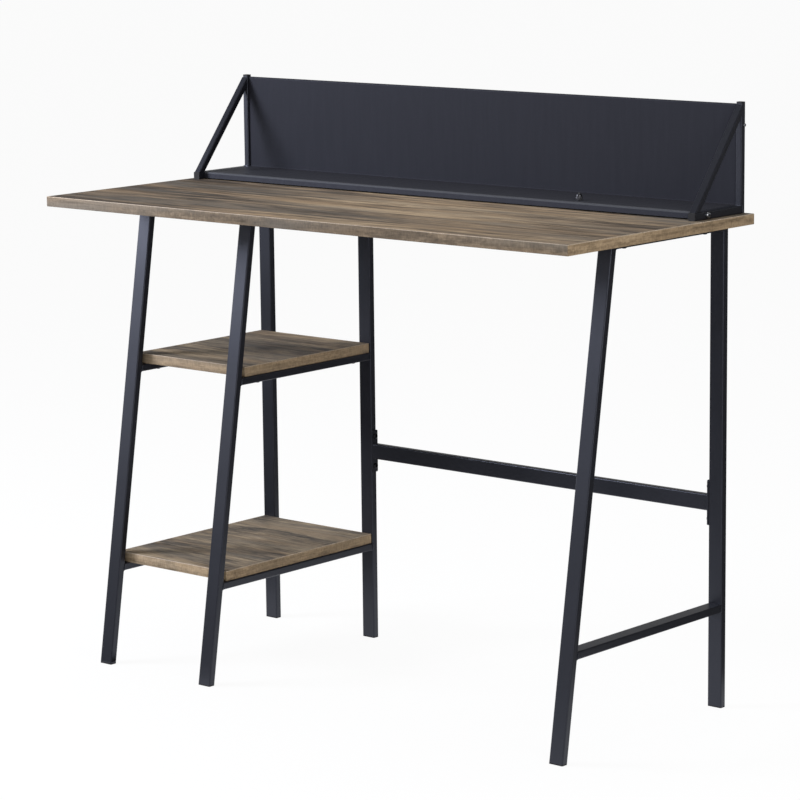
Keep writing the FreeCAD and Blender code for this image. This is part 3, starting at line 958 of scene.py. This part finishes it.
class BeadRecipe(Recipe):
    """Weld beads along edges: a rippled round bead with closed ends."""

    SIDES = 8
    STEPS_PER_RIPPLE = 5.0
    VALLEY_SHARE = 0.84

    def __init__(self) -> None:
        """Build the tree."""
        super().__init__("weld_bead_recipe")
        sizes = {name: "NodeSocketFloat" for name in ("Bead Radius", "Ripple")}
        given = self.inputs({**sizes, "Material": "NodeSocketMaterial"})
        graph = self.graph
        path = graph.node("GeometryNodeMeshToCurve", {0: given["Geometry"]}).outputs[0]
        step = graph.math("DIVIDE", given["Ripple"], self.STEPS_PER_RIPPLE)
        fine = graph.node("GeometryNodeResampleCurve", {0: path, "Length": step}, mode="LENGTH")
        index = graph.node("GeometryNodeInputIndex").outputs[0]
        wave = graph.math("FRACT", graph.math("DIVIDE", index, self.STEPS_PER_RIPPLE))
        crest = graph.math("ABSOLUTE", graph.math("SUBTRACT", wave, 0.5))
        swell = graph.remap(crest, (0.0, 0.5), (1.0, self.VALLEY_SHARE))
        radius = graph.node("GeometryNodeSetCurveRadius", {0: fine.outputs[0], "Radius": swell})
        round_size = {"Resolution": self.SIDES, "Radius": given["Bead Radius"]}
        ring = graph.node("GeometryNodeCurvePrimitiveCircle", round_size)
        feeds = {0: radius.outputs[0], "Profile Curve": ring.outputs[0], "Fill Caps": True}
        bead = graph.node("GeometryNodeCurveToMesh", feeds)
        self.end(bead.outputs[0], given["Material"])


def new_piece(name: str, mesh: bpy.types.Mesh) -> bpy.types.Object:
    """Put a mesh into the scene, at the origin.

    Args:
        name: The object's name.
        mesh: Its mesh.

    Returns:
        The object.
    """
    piece = bpy.data.objects.new(name, mesh)
    bpy.context.scene.collection.objects.link(piece)
    return piece


def mesh_of(name: str, work: bmesh.types.BMesh, finishes: Iterable[Finish]) -> bpy.types.Mesh:
    """Turn a working mesh into a plain one.

    Args:
        name: The mesh's name.
        work: The working mesh, which is freed.
        finishes: The finishes, in the order of the faces' material numbers.

    Returns:
        The plain mesh.
    """
    mesh = bpy.data.meshes.new(name)
    for finish in finishes:
        mesh.materials.append(finish.material())
    work.to_mesh(mesh)
    work.free()
    return mesh


def settle(piece: bpy.types.Object, nodes: Iterable[str] = ()) -> None:
    """Fix a finished piece to the desk and report it.

    Args:
        piece: The finished object.
        nodes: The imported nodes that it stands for.
    """
    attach(piece, BODY)
    stood_for = list(nodes)
    if stood_for:
        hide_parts(*stood_for)
    LOG.info("%s: %d faces, for %s", piece.name, len(piece.data.polygons), ", ".join(stood_for) or "no node")


def dress(nodes: Iterable[str], finish: Finish) -> None:
    """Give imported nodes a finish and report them.

    Args:
        nodes: The nodes' names.
        finish: The finish.
    """
    for name in nodes:
        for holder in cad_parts[name].material_slots:
            holder.material = finish.material()
        LOG.info("%s: packed shape, %s", name, finish.name)


def solid_boxes(node: str) -> list[Box]:
    """Find the box of each separate solid of a node.

    Args:
        node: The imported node.

    Returns:
        The boxes, in order of place.
    """
    work = bmesh.new()
    work.from_mesh(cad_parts[node].data)
    bmesh.ops.remove_doubles(work, verts=work.verts, dist=MERGE_REACH)
    waiting = set(work.verts)
    boxes = []
    while waiting:
        reached = {waiting.pop()}
        edge_of_reach = list(reached)
        while edge_of_reach:
            vertex = edge_of_reach.pop()
            fresh = {edge.other_vert(vertex) for edge in vertex.link_edges} - reached
            reached |= fresh
            edge_of_reach.extend(fresh)
        waiting -= reached
        low, high = (
            Vector([pick(vertex.co[i] for vertex in reached) for i in range(3)]) for pick in (min, max)
        )
        boxes.append((low, high))
    work.free()
    return sorted(boxes, key=lambda box: tuple(round(value, PLACE_DECIMALS) for value in box[0]))


def three_sides(box: Box, corner: float, across: float, open_end: float) -> list[tuple[float, float]]:
    """Outline round three sides of a bar's end, with cut corners.

    Args:
        box: The bar's box.
        corner: The size of the corners.
        across: Height of the side that the outline crosses.
        open_end: Height of the side that it leaves open.

    Returns:
        X and Z of the outline's points.
    """
    low, high = box
    step = math.copysign(corner, open_end - across)
    rise = [open_end - step, across + step]
    left = [(low.x, z) for z in rise]
    right = [(high.x, z) for z in reversed(rise)]
    return [*left, (low.x + corner, across), (high.x - corner, across), *right]


@dataclass
class Screws:
    """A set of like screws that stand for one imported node."""

    node: str
    slot: Slot
    finish: Finish
    drive: Drive
    head_height: float
    drive_width: float
    drive_depth: float
    shank_width: float
    pitch: float
    squareness: float = 0.6
    crease: float = 32.0

    def build(self, recipes: dict[Drive, ScrewRecipe]) -> None:
        """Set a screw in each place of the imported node.

        Args:
            recipes: The screw recipes, by recess.
        """
        boxes = solid_boxes(self.node)
        seats = [self.seat(box) for box in boxes]
        mesh = bpy.data.meshes.new(self.node)
        mesh.from_pydata([seat for seat, _ in seats], [], [])
        aims = mesh.attributes.new(AIM, "FLOAT_VECTOR", "POINT")
        for row, (_, aim) in zip(aims.data, seats):
            row.vector = aim
        piece = new_piece(f"{self.node}_dressed", mesh)
        extent = sorted(boxes[0][1] - boxes[0][0])
        recipes[self.drive].apply(piece, {
            "Head Width": extent[1],
            "Head Height": self.head_height,
            "Drive Width": self.drive_width,
            "Drive Depth": self.drive_depth,
            "Shank Width": self.shank_width,
            "Shank Length": extent[2] - self.head_height,
            "Pitch": self.pitch,
            "Squareness": self.squareness,
            "Material": self.finish.material(),
        }, self.crease)
        settle(piece, [self.node])

    def seat(self, box: Box) -> tuple[Vector, Vector]:
        """Seat and aim of one screw: its long axis, with the head on the outside.

        Args:
            box: The screw's box.

        Returns:
            The middle of the head's seat, and the direction of the shank.
        """
        low, high = box
        extent = high - low
        axis = max(range(3), key=lambda i: extent[i])
        middle = (low + high) / 2
        aim = Vector((0.0, 0.0, 0.0))
        aim[axis] = self.inward(axis, middle)
        crown = low[axis] if aim[axis] > 0 else high[axis]
        seat = middle.copy()
        seat[axis] = crown + aim[axis] * self.head_height
        return seat, aim

    def inward(self, axis: int, middle: Vector) -> float:
        """Sign of the shank's direction: up, or sideways towards the desk's middle."""
        return -1.0 if axis == 0 and middle.x > 0 else 1.0


@dataclass
class StretcherScrews(Screws):
    """Bolts that point away from the desk's opening, into the legs beside it."""

    opening_middle: float = 0.0

    def inward(self, axis: int, middle: Vector) -> float:
        """Sign of the direction into the leg beside the opening."""
        return 1.0 if middle.x > self.opening_middle else -1.0


@dataclass
class WeldBeads:
    """Beads along the corners where tubes meet."""

    radius: float = 0.0013
    ripple: float = 0.0021
    crease: float = 60.0

    def build(self, name: str, paths: Sequence[Path], recipe: BeadRecipe) -> None:
        """Lay painted beads along open paths.

        Args:
            name: The piece's name.
            paths: Corner points of each bead.
            recipe: The bead recipe.
        """
        points: list[Vector] = []
        edges: list[tuple[int, int]] = []
        for path in paths:
            start = len(points)
            points.extend(path)
            edges.extend((start + i, start + i + 1) for i in range(len(path) - 1))
        mesh = bpy.data.meshes.new(name)
        mesh.from_pydata(points, edges, [])
        piece = new_piece(name, mesh)
        material = FRAME_PAINT.material()
        values = {"Bead Radius": self.radius, "Ripple": self.ripple, "Material": material}
        recipe.apply(piece, values, self.crease)
        settle(piece)


@dataclass
class Boards:
    """Desktop and shelves: laminate faces with edge bands, and a fine seam between them."""

    desktop: str = "desktop"
    shelves: tuple[str, ...] = ("upper_shelf", "lower_shelf")
    arris: float = 0.0009
    arris_steps: int = 3
    arris_profile: float = 0.5
    band: float = 0.0010
    seam_width: float = 0.00025
    seam_depth: float = 0.00015
    flat_slope: float = 0.999
    arris_slope: float = 0.2
    crease: float = 40.0

    def finishes(self, node: str) -> list[OakPrint]:
        """Finishes of a board, in the order of its material numbers.

        Args:
            node: The board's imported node.

        Returns:
            The finishes of its flats, long edges, short edges and arrises.
        """
        low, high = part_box(self.desktop)
        size = {"repeat": high.y - low.y, "level": high.z, "length": high.x - low.x}
        flat = DesktopPrint if node == self.desktop else ShelfPrint
        edge = DesktopEdgePrint if node == self.desktop else ShelfEdgePrint
        # The arrises' pale print is a painted highlight along the boards' top edges
        return [kind(**size) for kind in (flat, edge, ShortEdgePrint, ArrisHighlightPrint)]

    def build(self) -> None:
        """Make each board in place of its node."""
        for node in (self.desktop, *self.shelves):
            name = f"{node}_board"
            mesh = mesh_of(name, self.shape(node), self.finishes(node))
            smooth(mesh, self.crease)
            settle(new_piece(name, mesh), [node])

    def shape(self, node: str) -> bmesh.types.BMesh:
        """Mesh of one board.

        Args:
            node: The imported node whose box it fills.

        Returns:
            The board with its material numbers set.
        """
        low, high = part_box(node)
        work = bmesh.new()
        bmesh.ops.create_cube(work, size=1.0)
        bmesh.ops.transform(work, matrix=Matrix.Diagonal((*(high - low), 1.0)), verts=work.verts)
        bmesh.ops.translate(work, vec=(low + high) / 2, verts=work.verts)
        bmesh.ops.bevel(work, geom=work.edges[:], offset=self.arris, segments=self.arris_steps,
                        profile=self.arris_profile, affect="EDGES")
        for face in work.faces:
            face.material_index = self.side(face.normal).value
        flats = [face for face in work.faces if self.side(face.normal) is BoardSide.FLAT]
        for face in flats:
            self.seam(work, face)
        bmesh.ops.recalc_face_normals(work, faces=work.faces)
        return work

    def side(self, normal: Vector) -> BoardSide:
        """Tell which side of a board a face belongs to.

        Args:
            normal: The face's normal.

        Returns:
            The side.
        """
        if abs(normal.z) > self.flat_slope:
            return BoardSide.FLAT
        if normal.z > self.arris_slope:
            return BoardSide.ARRIS
        return BoardSide.LONG_EDGE if abs(normal.y) >= abs(normal.x) else BoardSide.SHORT_EDGE

    def seam(self, work: bmesh.types.BMesh, flat: bmesh.types.BMFace) -> None:
        """Sink a fine seam round a flat, between its laminate and the edge bands.

        Args:
            work: The board's mesh.
            flat: The flat.
        """
        rim = bmesh.ops.inset_region(work, faces=[flat], thickness=self.band, use_even_offset=True)["faces"]
        for face in rim:
            span, depth = (
                max(abs(edge.verts[0].co[i] - edge.verts[1].co[i]) for edge in face.edges) for i in range(2)
            )
            edge_side = BoardSide.LONG_EDGE if span > depth else BoardSide.SHORT_EDGE
            face.material_index = edge_side.value
        for depth in (-self.seam_depth, self.seam_depth):
            bmesh.ops.inset_region(work, faces=[flat], thickness=self.seam_width / 2, depth=depth)


@dataclass
class LadderFrames:
    """Three welded frames: slanted front legs, upright rear legs, top bars, crossbars and feet."""

    names: tuple[str, ...] = ("left", "inner", "right")
    upper_names: tuple[str, ...] = ("left", "inner")
    corner: float = 0.002

    def tubes(self) -> list[str]:
        """List the painted tubes.

        Returns:
            Their names.
        """
        kinds = ("front_leg", "rear_leg", "top_bar", "lower_crossbar")
        found = [f"{name}_frame_{kind}" for name in self.names for kind in kinds]
        return found + [f"{name}_frame_upper_crossbar" for name in self.upper_names]

    def bars(self) -> list[str]:
        """Names of the bars that are welded between legs."""
        return [name for name in self.tubes() if name.endswith("bar")]

    def feet(self) -> list[str]:
        """Names of the foot plugs."""
        return [f"{name}_{place}_foot" for name in self.names for place in ("front", "rear")]

    def lean(self) -> float:
        """Measure how far the front legs lean back.

        Returns:
            The lean for each metre of height.
        """
        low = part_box("left_frame_lower_crossbar")[0]
        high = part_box("left_frame_top_bar")[0]
        return (high.y - low.y) / (high.z - low.z)

    def welds(self) -> list[Path]:
        """Draw the beads at both ends of each bar: down one side, across below, up the other.

        Returns:
            The beads' paths.
        """
        paths = []
        lean = self.lean()
        for bar in self.bars():
            low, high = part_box(bar)
            outline = three_sides((low, high), self.corner, low.z, high.z)
            for slope, y in ((lean, low.y), (0.0, high.y)):
                paths.append([Vector((x, y + slope * (z - low.z), z)) for x, z in outline])
        return paths

    def build(self, beads: WeldBeads, recipe: BeadRecipe) -> None:
        """Lay the welds of the frames."""
        beads.build("frame_weld_beads", self.welds(), recipe)

    def dress(self) -> None:
        """Paint the tubes and finish the feet."""
        dress(self.tubes(), FRAME_PAINT)
        dress(self.feet(), PLASTIC)


@dataclass
class RearStretcher:
    """Stretcher between the inner and the right frame, with its end plates."""

    bar: str = "rear_stretcher"
    plates: tuple[str, ...] = ("stretcher_left_plate", "stretcher_right_plate")
    nuts: str = "stretcher_rivet_nuts"
    corner: float = 0.002

    def welds(self) -> list[Path]:
        """Draw the beads above and below the bar at both plates.

        Returns:
            The beads' paths.
        """
        low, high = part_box(self.bar)
        return [
            [Vector((x, low.y + self.corner, z)), Vector((x, high.y - self.corner, z))]
            for x in (low.x, high.x)
            for z in (low.z, high.z)
        ]

    def build(self, beads: WeldBeads, recipe: BeadRecipe) -> None:
        """Lay the welds of the stretcher."""
        beads.build("stretcher_weld_beads", self.welds(), recipe)

    def dress(self) -> None:
        """Paint the stretcher and plate its nuts."""
        dress([self.bar, *self.plates], FRAME_PAINT)
        dress([self.nuts], ZINC)

    def middle(self) -> float:
        """X of the middle of the opening that it spans."""
        low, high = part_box(self.bar)
        return (low.x + high.x) / 2


@dataclass
class Hutch:
    """Brackets of the low hutch, of square tube, with the plugs and the hidden nuts in them."""

    sides: tuple[str, ...] = ("left", "right")
    nuts: tuple[str, ...] = ("hutch_rivet_nuts", "tray_rivet_nuts")
    corner: float = 0.0016

    def named(self, *kinds: str) -> list[str]:
        """Names of the pieces of some kinds, on both sides."""
        return [f"hutch_{side}_{kind}" for side in self.sides for kind in kinds]

    def welds(self) -> list[Path]:
        """Draw the beads round the base bars' rear ends, at the uprights.

        Returns:
            The beads' paths.
        """
        paths = []
        for bar in self.named("base_bar"):
            low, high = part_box(bar)
            outline = three_sides((low, high), self.corner, high.z, low.z)
            paths.append([Vector((x, high.y, z)) for x, z in outline])
        return paths

    def build(self, beads: WeldBeads, recipe: BeadRecipe) -> None:
        """Lay the welds of the brackets."""
        beads.build("hutch_weld_beads", self.welds(), recipe)

    def dress(self) -> None:
        """Finish the brackets, their plugs and the hidden nuts."""
        dress(self.named("upright", "base_bar", "brace"), FRAME_PAINT)
        dress(self.named("cap", "end_plug"), PLASTIC)
        dress(self.nuts, ZINC)


@dataclass
class FoldedTray:
    """Tray of one sheet: a lip that leans back, a floor, a back and a narrow top, closed at both ends."""

    node: str = "hutch_tray"
    floor_seat: str = "tray_cap_nut"
    sheet: float = 0.0012
    back_depth: float = 0.0065
    lip_lean: float = 0.0020
    foot_gap: float = 0.0010
    lip_bend: float = 0.0030
    back_bend: float = 0.0010
    top_bend: float = 0.0022
    bend_steps: int = 8
    flat_hold: float = 0.0008
    crease: float = 30.0

    def bend(self, before: Vector, corner: Vector, after: Vector, radius: float) -> Path:
        """Points round one fold, with a point on the flat at each side of it.

        Args:
            before: A point on the flat before the fold.
            corner: Where the two flats would meet.
            after: A point on the flat after the fold.
            radius: The fold's radius.

        Returns:
            The points, in order.
        """
        back, on = (before - corner).normalized(), (after - corner).normalized()
        half = back.angle(on) / 2
        start, end = (corner + way * (radius / math.tan(half)) for way in (back, on))
        centre = corner + (back + on).normalized() * (radius / math.sin(half))
        arc = []
        for step in range(self.bend_steps + 1):
            spoke = (start - centre).lerp(end - centre, step / self.bend_steps)
            arc.append(centre + spoke.normalized() * radius)
        return [start + back * self.flat_hold, *arc, end + on * self.flat_hold]

    def profile(self) -> Path:
        """Draw the section of the sheet's outer side.

        Returns:
            The points from the lip's foot to the rear of the top.
        """
        low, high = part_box(self.node)
        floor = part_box(self.floor_seat)[0].z
        back = high.y - self.back_depth
        foot, lip, inner, crown, rear = (
            Vector((0.0, y, z))
            for y, z in (
                (low.y, low.z + self.foot_gap),
                (low.y + self.lip_lean, floor),
                (back, floor),
                (back, high.z),
                (high.y, high.z),
            )
        )
        return [
            foot,
            *self.bend(foot, lip, inner, self.lip_bend),
            *self.bend(lip, inner, crown, self.back_bend),
            *self.bend(inner, crown, rear, self.top_bend),
            rear,
        ]

    def skin(self) -> bmesh.types.BMesh:
        """Draw the section out between the brackets, mark the lip's fold for its painted highlight and close
        the ends.

        Returns:
            The sheet's outer side, without thickness.
        """
        low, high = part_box(self.node)
        work = bmesh.new()
        # This layer carries the painted highlight along the lip's fold
        painted_fold_highlight = work.verts.layers.float.new(FOLD)
        section = self.profile()
        rows = [[work.verts.new((x, point.y, point.z)) for point in section] for x in (low.x, high.x)]
        left, right = rows
        # The fold's arc follows the foot and one point on the lip's flat
        arc_start = 2
        arc_end = arc_start + self.bend_steps + 1
        # The fold's arc points get the full painted highlight
        for row in rows:
            for vertex in row[arc_start:arc_end]:
                vertex[painted_fold_highlight] = 1.0
        for i in range(len(section) - 1):
            work.faces.new((left[i], left[i + 1], right[i + 1], right[i]))
        for row, x in zip(rows, (low.x, high.x)):
            work.faces.new((*row, work.verts.new((x, high.y, low.z))))
        bmesh.ops.recalc_face_normals(work, faces=work.faces)
        if left[0].link_faces[0].normal.y > 0:
            bmesh.ops.reverse_faces(work, faces=work.faces)
        return work

    def build(self) -> None:
        """Make the tray in place of its node, with the sheet's thickness inwards."""
        piece = new_piece(f"{self.node}_folded", mesh_of(self.node, self.skin(), [TRAY_PAINT]))
        wall = piece.modifiers.new("sheet", "SOLIDIFY")
        wall.thickness = self.sheet
        wall.offset = -1.0
        wall.use_even_offset = True
        keep_result(piece, wall, self.crease)
        settle(piece, [self.node])


@dataclass
class CapNut:
    """Domed nut on the tray's floor: a chamfered hexagon under a dome."""

    node: str = "tray_cap_nut"
    hexagon_share: float = 0.48
    chamfer: float = 0.0006
    neck: float = 0.0004
    sides: int = 72
    dome_steps: int = 10
    crease: float = 28.0

    def profile(self, flats: float, height: float) -> list[tuple[float, float]]:
        """Radius and height of each ring from the seat to the crown, before the hexagon trims it.

        Args:
            flats: Width of the hexagon across its flats.
            height: Height of the whole nut.

        Returns:
            The rings, from below.
        """
        corner = flats / math.sqrt(3.0)
        top = height * self.hexagon_share
        dome = flats / 2 - self.neck
        rings = [(0.0, 0.0), (flats / 2, 0.0), (corner, self.chamfer), (corner, top - self.chamfer)]
        rings.append((flats / 2, top))
        for step in range(self.dome_steps + 1):
            turn = math.pi / 2 * step / self.dome_steps
            rings.append((dome * math.cos(turn), top + (height - top) * math.sin(turn)))
        return rings

    def build(self) -> None:
        """Turn the rings round the nut's middle, trimmed to the hexagon."""
        low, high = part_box(self.node)
        size = high - low
        middle = (low + high) / 2
        work = bmesh.new()
        rows = []
        for radius, rise in self.profile(size.y, size.z):
            row = []
            for side in range(self.sides):
                turn = math.tau * side / self.sides
                off_flat = (turn % (math.pi / 3)) - math.pi / 6
                reach = min(radius, size.y / 2 / math.cos(off_flat))
                place = (middle.x + reach * math.cos(turn), middle.y + reach * math.sin(turn), low.z + rise)
                row.append(work.verts.new(place))
            rows.append(row)
        for lower, upper in zip(rows, rows[1:]):
            for side in range(self.sides):
                work.faces.new((lower[side - 1], lower[side], upper[side], upper[side - 1]))
        bmesh.ops.remove_doubles(work, verts=work.verts, dist=FINE_MERGE_REACH)
        bmesh.ops.recalc_face_normals(work, faces=work.faces)
        mesh = mesh_of(self.node, work, [DARK_PLATE])
        smooth(mesh, self.crease)
        settle(new_piece(f"{self.node}_dressed", mesh), [self.node])


def heading(azimuth: float, elevation: float = 0.0) -> Vector:
    """Direction by its azimuth, from the front towards +X, and its elevation, both in degrees."""
    turn, rise = math.radians(azimuth), math.radians(elevation)
    return Vector((math.sin(turn) * math.cos(rise), -math.cos(turn) * math.cos(rise), math.sin(rise)))


def stage_sheet(
    name: str, corners: Sequence[Sequence[float]], material: bpy.types.Material
) -> bpy.types.Object:
    """Lay a flat sheet of the studio.

    Args:
        name: The sheet's name.
        corners: Its four corners, in order.
        material: Its material.

    Returns:
        The sheet.
    """
    mesh = bpy.data.meshes.new(name)
    mesh.from_pydata(corners, [], [(0, 1, 2, 3)])
    mesh.materials.append(material)
    return new_piece(name, mesh)


@dataclass
class Softbox:
    """A square lamp aimed at the desk."""

    name: str
    azimuth: float
    elevation: float
    distance: float
    size: float
    radiance: float
    colour: Colour = WHITE

    def build(self, target: Vector) -> None:
        """Hang the lamp.

        Args:
            target: The point that it is aimed at.
        """
        away = heading(self.azimuth, self.elevation)
        lamp = bpy.data.lights.new(self.name, "AREA")
        lamp.shape = "SQUARE"
        lamp.size = self.size
        lamp.color = self.colour
        lamp.energy = self.radiance * math.pi * self.size ** 2
        holder = bpy.data.objects.new(self.name, lamp)
        holder.location = target + away * self.distance
        holder.rotation_euler = away.to_track_quat("Z", "Y").to_euler()
        bpy.context.scene.collection.objects.link(holder)


@dataclass
class Card:
    """A dark card beside the picture, which only reflections see."""

    name: str
    azimuth: float
    distance: float
    length: float
    width: float
    height: float = 0.0
    rise: float = 0.004
    tone: float = 0.02

    def build(self) -> None:
        """Lay the card, its far edge lifted."""
        away = heading(self.azimuth)
        across = Vector((-away.y, away.x, 0.0)) * (self.width / 2)
        near, far = away * self.distance, away * (self.distance + self.length)
        low, high = Vector((0.0, 0.0, self.rise)), Vector((0.0, 0.0, self.rise + self.height))
        material, graph = bare_material(self.name)
        matt = graph.node("ShaderNodeBsdfDiffuse", {"Color": (self.tone, self.tone, self.tone, 1.0)})
        graph.node("ShaderNodeOutputMaterial", {"Surface": matt.outputs[0]})
        corners = [near - across + low, far - across + high, far + across + high, near + across + low]
        card = stage_sheet(self.name, corners, material)
        card.visible_camera = False
        card.visible_diffuse = False
        card.visible_shadow = False


@dataclass
class Studio:
    """Pale floor, white surroundings, softboxes and the camera."""

    floor_size: float = 60.0
    floor_colour: Colour = (0.86, 0.86, 0.86)
    floor_white: float = 0.94
    world_fill: float = 0.40
    ceiling_tone: float = 0.10
    ceiling_edge: Range = (0.03, 0.32)
    target: Vector = Vector((0.0, 0.0, 0.5))
    camera_place: Vector = Vector((3.1871, -3.6890, 1.3217))
    yaw: float = 40.658
    pitch: float = 10.047
    roll: float = -0.635
    focal_pixels: float = 3198.7
    image_pixels: float = 800.0
    sensor: float = 36.0

    def build(self) -> None:
        """Set up everything round the desk."""
        self.floor()
        self.world()
        self.lamps()
        self.camera()
        bpy.context.scene.view_settings.view_transform = "Standard"

    def floor(self) -> None:
        """A wide pale floor, white to the eye, that keeps the desk's shadow."""
        half = self.floor_size / 2
        material, graph = bare_material("studio_floor")
        matt = graph.node("ShaderNodeBsdfDiffuse", {"Color": opaque(self.floor_colour)})
        white = graph.node("ShaderNodeEmission", {"Strength": 1.0})
        share = graph.product(graph.seen_background(), self.floor_white)
        mixed = graph.node("ShaderNodeMixShader", {0: share, 1: matt.outputs[0], 2: white.outputs[0]})
        graph.node("ShaderNodeOutputMaterial", {"Surface": mixed.outputs[0]})
        corners = [(-half, -half, 0.0), (half, -half, 0.0), (half, half, 0.0), (-half, half, 0.0)]
        stage_sheet("floor", corners, material)

    def world(self) -> None:
        """Surroundings that light the desk softly, white to the eye up to a dim ceiling."""
        world = bpy.data.worlds.new("studio")
        world.use_nodes = True
        graph = Graph(world.node_tree)
        rise = graph.parts(graph.node("ShaderNodeTexCoord").outputs["Generated"])["Z"]
        seen = graph.remap(rise, self.ceiling_edge, (1.0, self.ceiling_tone))
        fill, white = (
            graph.node("ShaderNodeBackground", {"Color": opaque(WHITE), "Strength": strength})
            for strength in (self.world_fill, seen)
        )
        feeds = {0: graph.seen_background(), 1: fill.outputs[0], 2: white.outputs[0]}
        mixed = graph.node("ShaderNodeMixShader", feeds)
        graph.node("ShaderNodeOutputWorld", {"Surface": mixed.outputs[0]})
        bpy.context.scene.world = world

    def lamps(self) -> None:
        """Key from the front left, fill from the right, a soft top light and two cards."""
        for lamp in (
            Softbox("key", azimuth=-52.0, elevation=25.0, distance=3.0, size=1.0, radiance=30.0,
                    colour=(0.94, 0.97, 1.08)),
            Softbox("fill", azimuth=62.0, elevation=20.0, distance=3.0, size=1.4, radiance=5.0),
            Softbox("top", azimuth=180.0, elevation=78.0, distance=2.6, size=2.0, radiance=2.0),
        ):
            lamp.build(self.target)
        for card in (
            Card("left_card", azimuth=-42.0, distance=0.4, length=7.4, width=5.0),
            Card("right_card", azimuth=140.0, distance=0.6, length=5.0, width=7.0, height=1.0, tone=0.16),
        ):
            card.build()

    def camera(self) -> None:
        """The camera at the photograph's viewing angle."""
        yaw, pitch, roll = (math.radians(angle) for angle in (self.yaw, self.pitch, self.roll))
        ahead = Vector((-math.sin(yaw) * math.cos(pitch), math.cos(yaw) * math.cos(pitch), -math.sin(pitch)))
        level = Vector((math.cos(yaw), math.sin(yaw), 0.0))
        above = level.cross(ahead)
        right = math.cos(roll) * level + math.sin(roll) * above
        up = math.cos(roll) * above - math.sin(roll) * level
        lens = bpy.data.cameras.new("camera")
        lens.sensor_width = self.sensor
        lens.lens = self.focal_pixels / self.image_pixels * self.sensor
        holder = bpy.data.objects.new("camera", lens)
        turn = Matrix((right, up, -ahead)).transposed().to_4x4()
        holder.matrix_world = Matrix.Translation(self.camera_place) @ turn
        bpy.context.scene.collection.objects.link(holder)
        bpy.context.scene.camera = holder


def fasteners(opening_middle: float) -> list[Screws]:
    """The desk's visible screws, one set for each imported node.

    Args:
        opening_middle: X of the middle of the opening under the desktop.

    Returns:
        The sets, ready to build.
    """
    black = {"slot": Slot.BLACK_STEEL, "finish": BLACK_OXIDE}
    zinc = {"slot": Slot.ZINC, "finish": ZINC}
    wood = {"drive": Drive.CROSS, "head_height": 0.0030, "drive_width": 0.0048, "drive_depth": 0.0016,
            "shank_width": 0.0040, "pitch": 0.0015}
    machine = {"drive": Drive.CROSS, "head_height": 0.0028, "drive_width": 0.0046, "drive_depth": 0.0015,
               "shank_width": 0.0040, "pitch": 0.0007}
    sheet = {"drive": Drive.CROSS, "head_height": 0.0020, "drive_width": 0.0030, "drive_depth": 0.0011,
             "shank_width": 0.0030, "pitch": 0.0011}
    socket = {"drive": Drive.HEX, "head_height": 0.0028, "drive_width": 0.0040, "drive_depth": 0.0019,
              "shank_width": 0.0050, "pitch": 0.0008, "squareness": 0.7}
    hold = {"drive": Drive.HEX, "head_height": 0.0030, "drive_width": 0.0050, "drive_depth": 0.0020,
            "shank_width": 0.0060, "pitch": 0.0010}
    return [
        Screws("desktop_screws", **black, **wood),
        Screws("shelf_screws", **black, **wood),
        Screws("hutch_screws", **black, **machine),
        StretcherScrews("stretcher_bolts", opening_middle=opening_middle, **black, **socket),
        Screws("tray_bolts", **zinc, **socket),
        Screws("tray_sheet_screws", **zinc, **sheet),
        Screws("tray_hold_bolt", **black, **hold),
    ]


def main() -> None:
    """Build the desk's looks and the studio round it."""
    logging.basicConfig(level=logging.INFO, format="%(message)s")
    beads, bead_recipe = WeldBeads(), BeadRecipe()
    screw_recipes = {drive: ScrewRecipe(drive) for drive in Drive}
    stretcher = RearStretcher()

    Boards().build()
    for assembly in (LadderFrames(), stretcher, Hutch()):
        assembly.build(beads, bead_recipe)
        assembly.dress()
    FoldedTray().build()
    CapNut().build()
    for screws in fasteners(stretcher.middle()):
        screws.build(screw_recipes)
    Studio().build()


if __name__ == "__main__":
    main()
